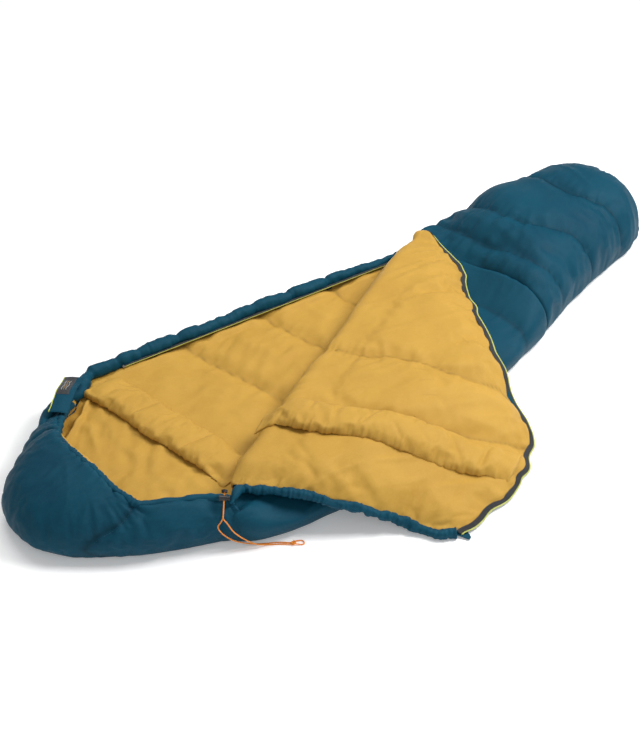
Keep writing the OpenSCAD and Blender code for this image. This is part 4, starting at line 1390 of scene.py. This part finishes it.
def make_guard():
    X, Y = grid((spread(40, 0.6) + 1) * GUARD_LENGTH / 2, spread(16, 0.7) * GUARD_HALF)
    edge = np.minimum(np.minimum(X, GUARD_LENGTH - X), GUARD_HALF - np.abs(Y))
    full = np.sqrt(1 - (1 - clamp01(edge / 7)) ** 2)
    sway = 1.8 * noise(X / 34, Y / 26)
    low, high = guard_point(X, Y, 2.6 - 2.2 * full), guard_point(X, Y, 2.6 + 3.0 * full + sway)
    made = pad("neck_guard_pad", low, high, [SHELL, SHELL])
    refine(made)
    finish_piece(made, "neck_guard", "shell", "zip_guard", fill=0.4)
    x = np.linspace(3, GUARD_LENGTH - 3, 110)
    line = guard_point(x, GUARD_HALF + 0.2 + 0.8 * noise(x / 22, 8), 2.8 + 0.5 * noise(x / 30, 3))
    piping = tube("neck_guard_piping", line, 1.5, 10, [PIPING])
    finish_piece(piping, "neck_guard", "zip_coil")
    LX, LY = grid(np.linspace(66, 160, 40), np.linspace(-11, 20, 14))
    bend = 1.8 * noise(LX / 34, LY / 26)
    label = guard_pad("woven_label", LX, LY, 5.2 + bend, 6.2 + bend, LABEL)
    finish_piece(label, "neck_guard", "label", "zip_guard_label")
    for k in range(3):
        sx = np.linspace(84, 138, 40)
        y = -1 + 5.5 * k + 1.6 * np.sin((sx - 84) / 17.2 * math.pi)
        mark = tube(f"label_wave_{k}", guard_point(sx, y, 6.5 + 1.8 * noise(sx / 34, y / 26)), 0.7, 6,
                    [THREAD_GOLD if k == 1 else LABEL_LIGHT])
        finish_piece(mark, "neck_guard", "label")
    HX, HY = grid(np.linspace(110, 155, 20), np.linspace(-15, 15, 12))
    hook = guard_pad("guard_hook_tape", HX, HY, -1.4, 0.6, HOOK)
    finish_piece(hook, "neck_guard", "hook_tape", "zip_guard_hook_tape")


make_guard()


# ---- Pocket slit in the lining: a lip, and a dark tube as its painted shadow ----
def make_pocket():
    line = [(-141, 200), (-180, 222), (-222, 250), (-267, 284)]
    path = curve([(a, b, 0) for a, b in line], 12)
    s, m = path[:, 0], path[:, 1]
    z = flap_top(s, m) + flap_shape(s, m)
    p = plan(s, m)
    centre = raised(p, z + 2.5)
    lip = tube("pocket_lip", centre, 1.6 + 0.5 * noise(s / 9, 2), 10, [LINING])
    finish_piece(lip, "flap", "lining", "pocket_bag")
    # painted shadow: a dark tube, fully darkened by the seam attribute, lies where the slit's shadow falls
    shade = tube("pocket_slit_shadow", centre + np.array([2.2, 1.6, -1.2]), 1.7, 8, [THREAD_GOLD])
    paint(shade, np.ones(len(shade.data.vertices)))
    finish_piece(shade, "flap", "lining")


make_pocket()


# ---- Stitching ----
def stitches(name, lines, body, slot, thread, pitch=7.0, long=4.2, radius=0.45, sides=5):
    """Short raised threads along sewing lines. Each line is a path on the surface, or None off the piece."""
    points, faces = [], []
    for path in (line for line in lines if line is not None):
        run = lengths(path)
        for start in np.arange(4, run[-1] - long - 2, pitch):
            ends = [np.array([np.interp(start + d, run, path[:, k]) for k in range(3)])
                    for d in (0, long / 2, long)]
            along_it = unit(ends[2] - ends[0])
            side = unit(np.cross(along_it, [0, 0, 1.0]))
            up = np.cross(side, along_it)
            base = len(points)
            for at, r, h in zip(ends, (0.3, 1, 0.3), (-0.2, 0.35, -0.2)):
                for turn in turns(sides):
                    points.append(at + up * h + (side * math.cos(turn) + up * math.sin(turn)) * radius * r)
            for first in (base, base + sides):
                for j in range(sides):
                    a, b = first + j, first + (j + 1) % sides
                    faces.append([a, b, b + sides, a + sides])
            faces += [[end + j for j in range(sides)] for end in (base, base + 2 * sides)]
    finish_piece(new_object(name, points, faces, [thread]), body, slot)


def drop(line, target, lift=0.15, step=6.0):
    """A plan line laid on a finished piece's top surface."""
    depsgraph = bpy.context.evaluated_depsgraph_get()
    shape = target.evaluated_get(depsgraph)
    flat = resample(np.array([(*p, 0.0) for p in line], float), step)
    found = []
    for x, y, _ in flat:
        hit, place, _, _ = shape.ray_cast(Vector((x * MM, y * MM, 0.5)), Vector((0, 0, -1)))
        if hit:
            found.append([x, y, place.z / MM + lift])
    return smooth_line(np.array(found), 2) if len(found) > 3 else None


def sew():
    def on(piece, lines, step=6.0):
        return [drop(line, bpy.data.objects[piece], step=step) for line in lines]

    def short(s, m):
        return [tuple(plan(np.array(s + d * 0.62), np.array(m + d * 0.78))) for d in (14.0, 60.0)]

    stitches("foot_quilting", on("foot", FOOT_SEAMS), "bag", "shell", THREAD_BLUE)
    stitches("hood_quilting", on("hood", [line[:5] for line in HOOD_SEAMS[:2]]), "bag", "shell", THREAD_BLUE)
    stitches("back_quilting", on("back_panel", BACK_SEAMS[:3]), "bag", "lining", THREAD_GOLD)
    seam = [tuple(plan(np.array(float(s)), np.array(float(m)))) for s, m in FLAP_SEAM[1:-2]]
    bars = [short(-128 - 42 * k, 208 + 28 * k) for k in range(3)]
    stitches("flap_quilting", on("flap", [seam]) + on("flap", bars, 3.0), "flap", "lining", THREAD_GOLD)


sew()


# ---- Hard trim keeps its CAD shape ----
def dress(names, surface):
    for name in names:
        node = nodes[name]
        node.data.materials.clear()
        node.data.materials.append(surface)
        edge = node.modifiers.new("edges", "BEVEL")
        edge.width = 0.0004
        edge.segments = 2
        edge.limit_method = "ANGLE"


dress(["zip_slider_body", "zip_stop_bottom", "zip_stop_top"], METAL)
dress(["zip_slider_pull", "cord_eyelet", "lock_barrel", "lock_button"], PLASTIC)


# ---- The lock's spring, at one fixed length; on the real lock it shortens as the button is pressed ----
def make_spring():
    push_out = np.cross(CORD_DOWN, CORD_SIDE)
    winds, radius = 3, 3.6
    share = np.linspace(0, 1, 110)[:, None]
    angle = 2 * math.pi * winds * share
    ring = np.cos(angle) * CORD_SIDE + np.sin(angle) * CORD_DOWN
    spring = tube("lock_coil_spring", LOCK_AT + radius * ring + mix(-9, -4, share) * push_out, 0.4, 8, [METAL])
    finish_piece(spring, "cord_lock", "metal", "lock_spring")
    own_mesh(spring)


make_spring()


# ---- Floor and light ----
LAMPS = [("key", (1.9, -1.3, 3.1), 128, 1.5), ("fill", (-2.0, -2.8, 2.4), 20, 2.6),
         ("top", (0.2, 1.4, 3.8), 62, 2.0)]


def make_stage():
    white, _, surface = material("studio_floor", (0.95, 0.95, 0.95), 0.9)
    surface.inputs["Emission Color"].default_value = (1, 1, 1, 1)
    surface.inputs["Emission Strength"].default_value = 0.18
    size = 9.0
    mesh = bpy.data.meshes.new("floor")
    corners = [(-size, -size, 0), (size, -size, 0), (size, size, 0), (-size, size, 0)]
    mesh.from_pydata(corners, [], [(0, 1, 2, 3)])
    mesh.materials.append(white)
    floor = bpy.data.objects.new("floor", mesh)
    scene.collection.objects.link(floor)
    for name, place, power, width in LAMPS:
        data = bpy.data.lights.new(name, "AREA")
        data.energy = power
        data.size = width
        lamp = bpy.data.objects.new(name, data)
        lamp.location = place
        lamp.rotation_euler = (Vector((0, 0, 0.05)) - Vector(place)).to_track_quat("-Z", "Y").to_euler()
        scene.collection.objects.link(lamp)
    world = bpy.data.worlds.new("studio")
    world.use_nodes = True
    world.node_tree.nodes["Background"].inputs["Color"].default_value = (1, 1, 1, 1)
    world.node_tree.nodes["Background"].inputs["Strength"].default_value = 0.34
    scene.world = world
    scene.view_settings.view_transform = "Standard"


make_stage()
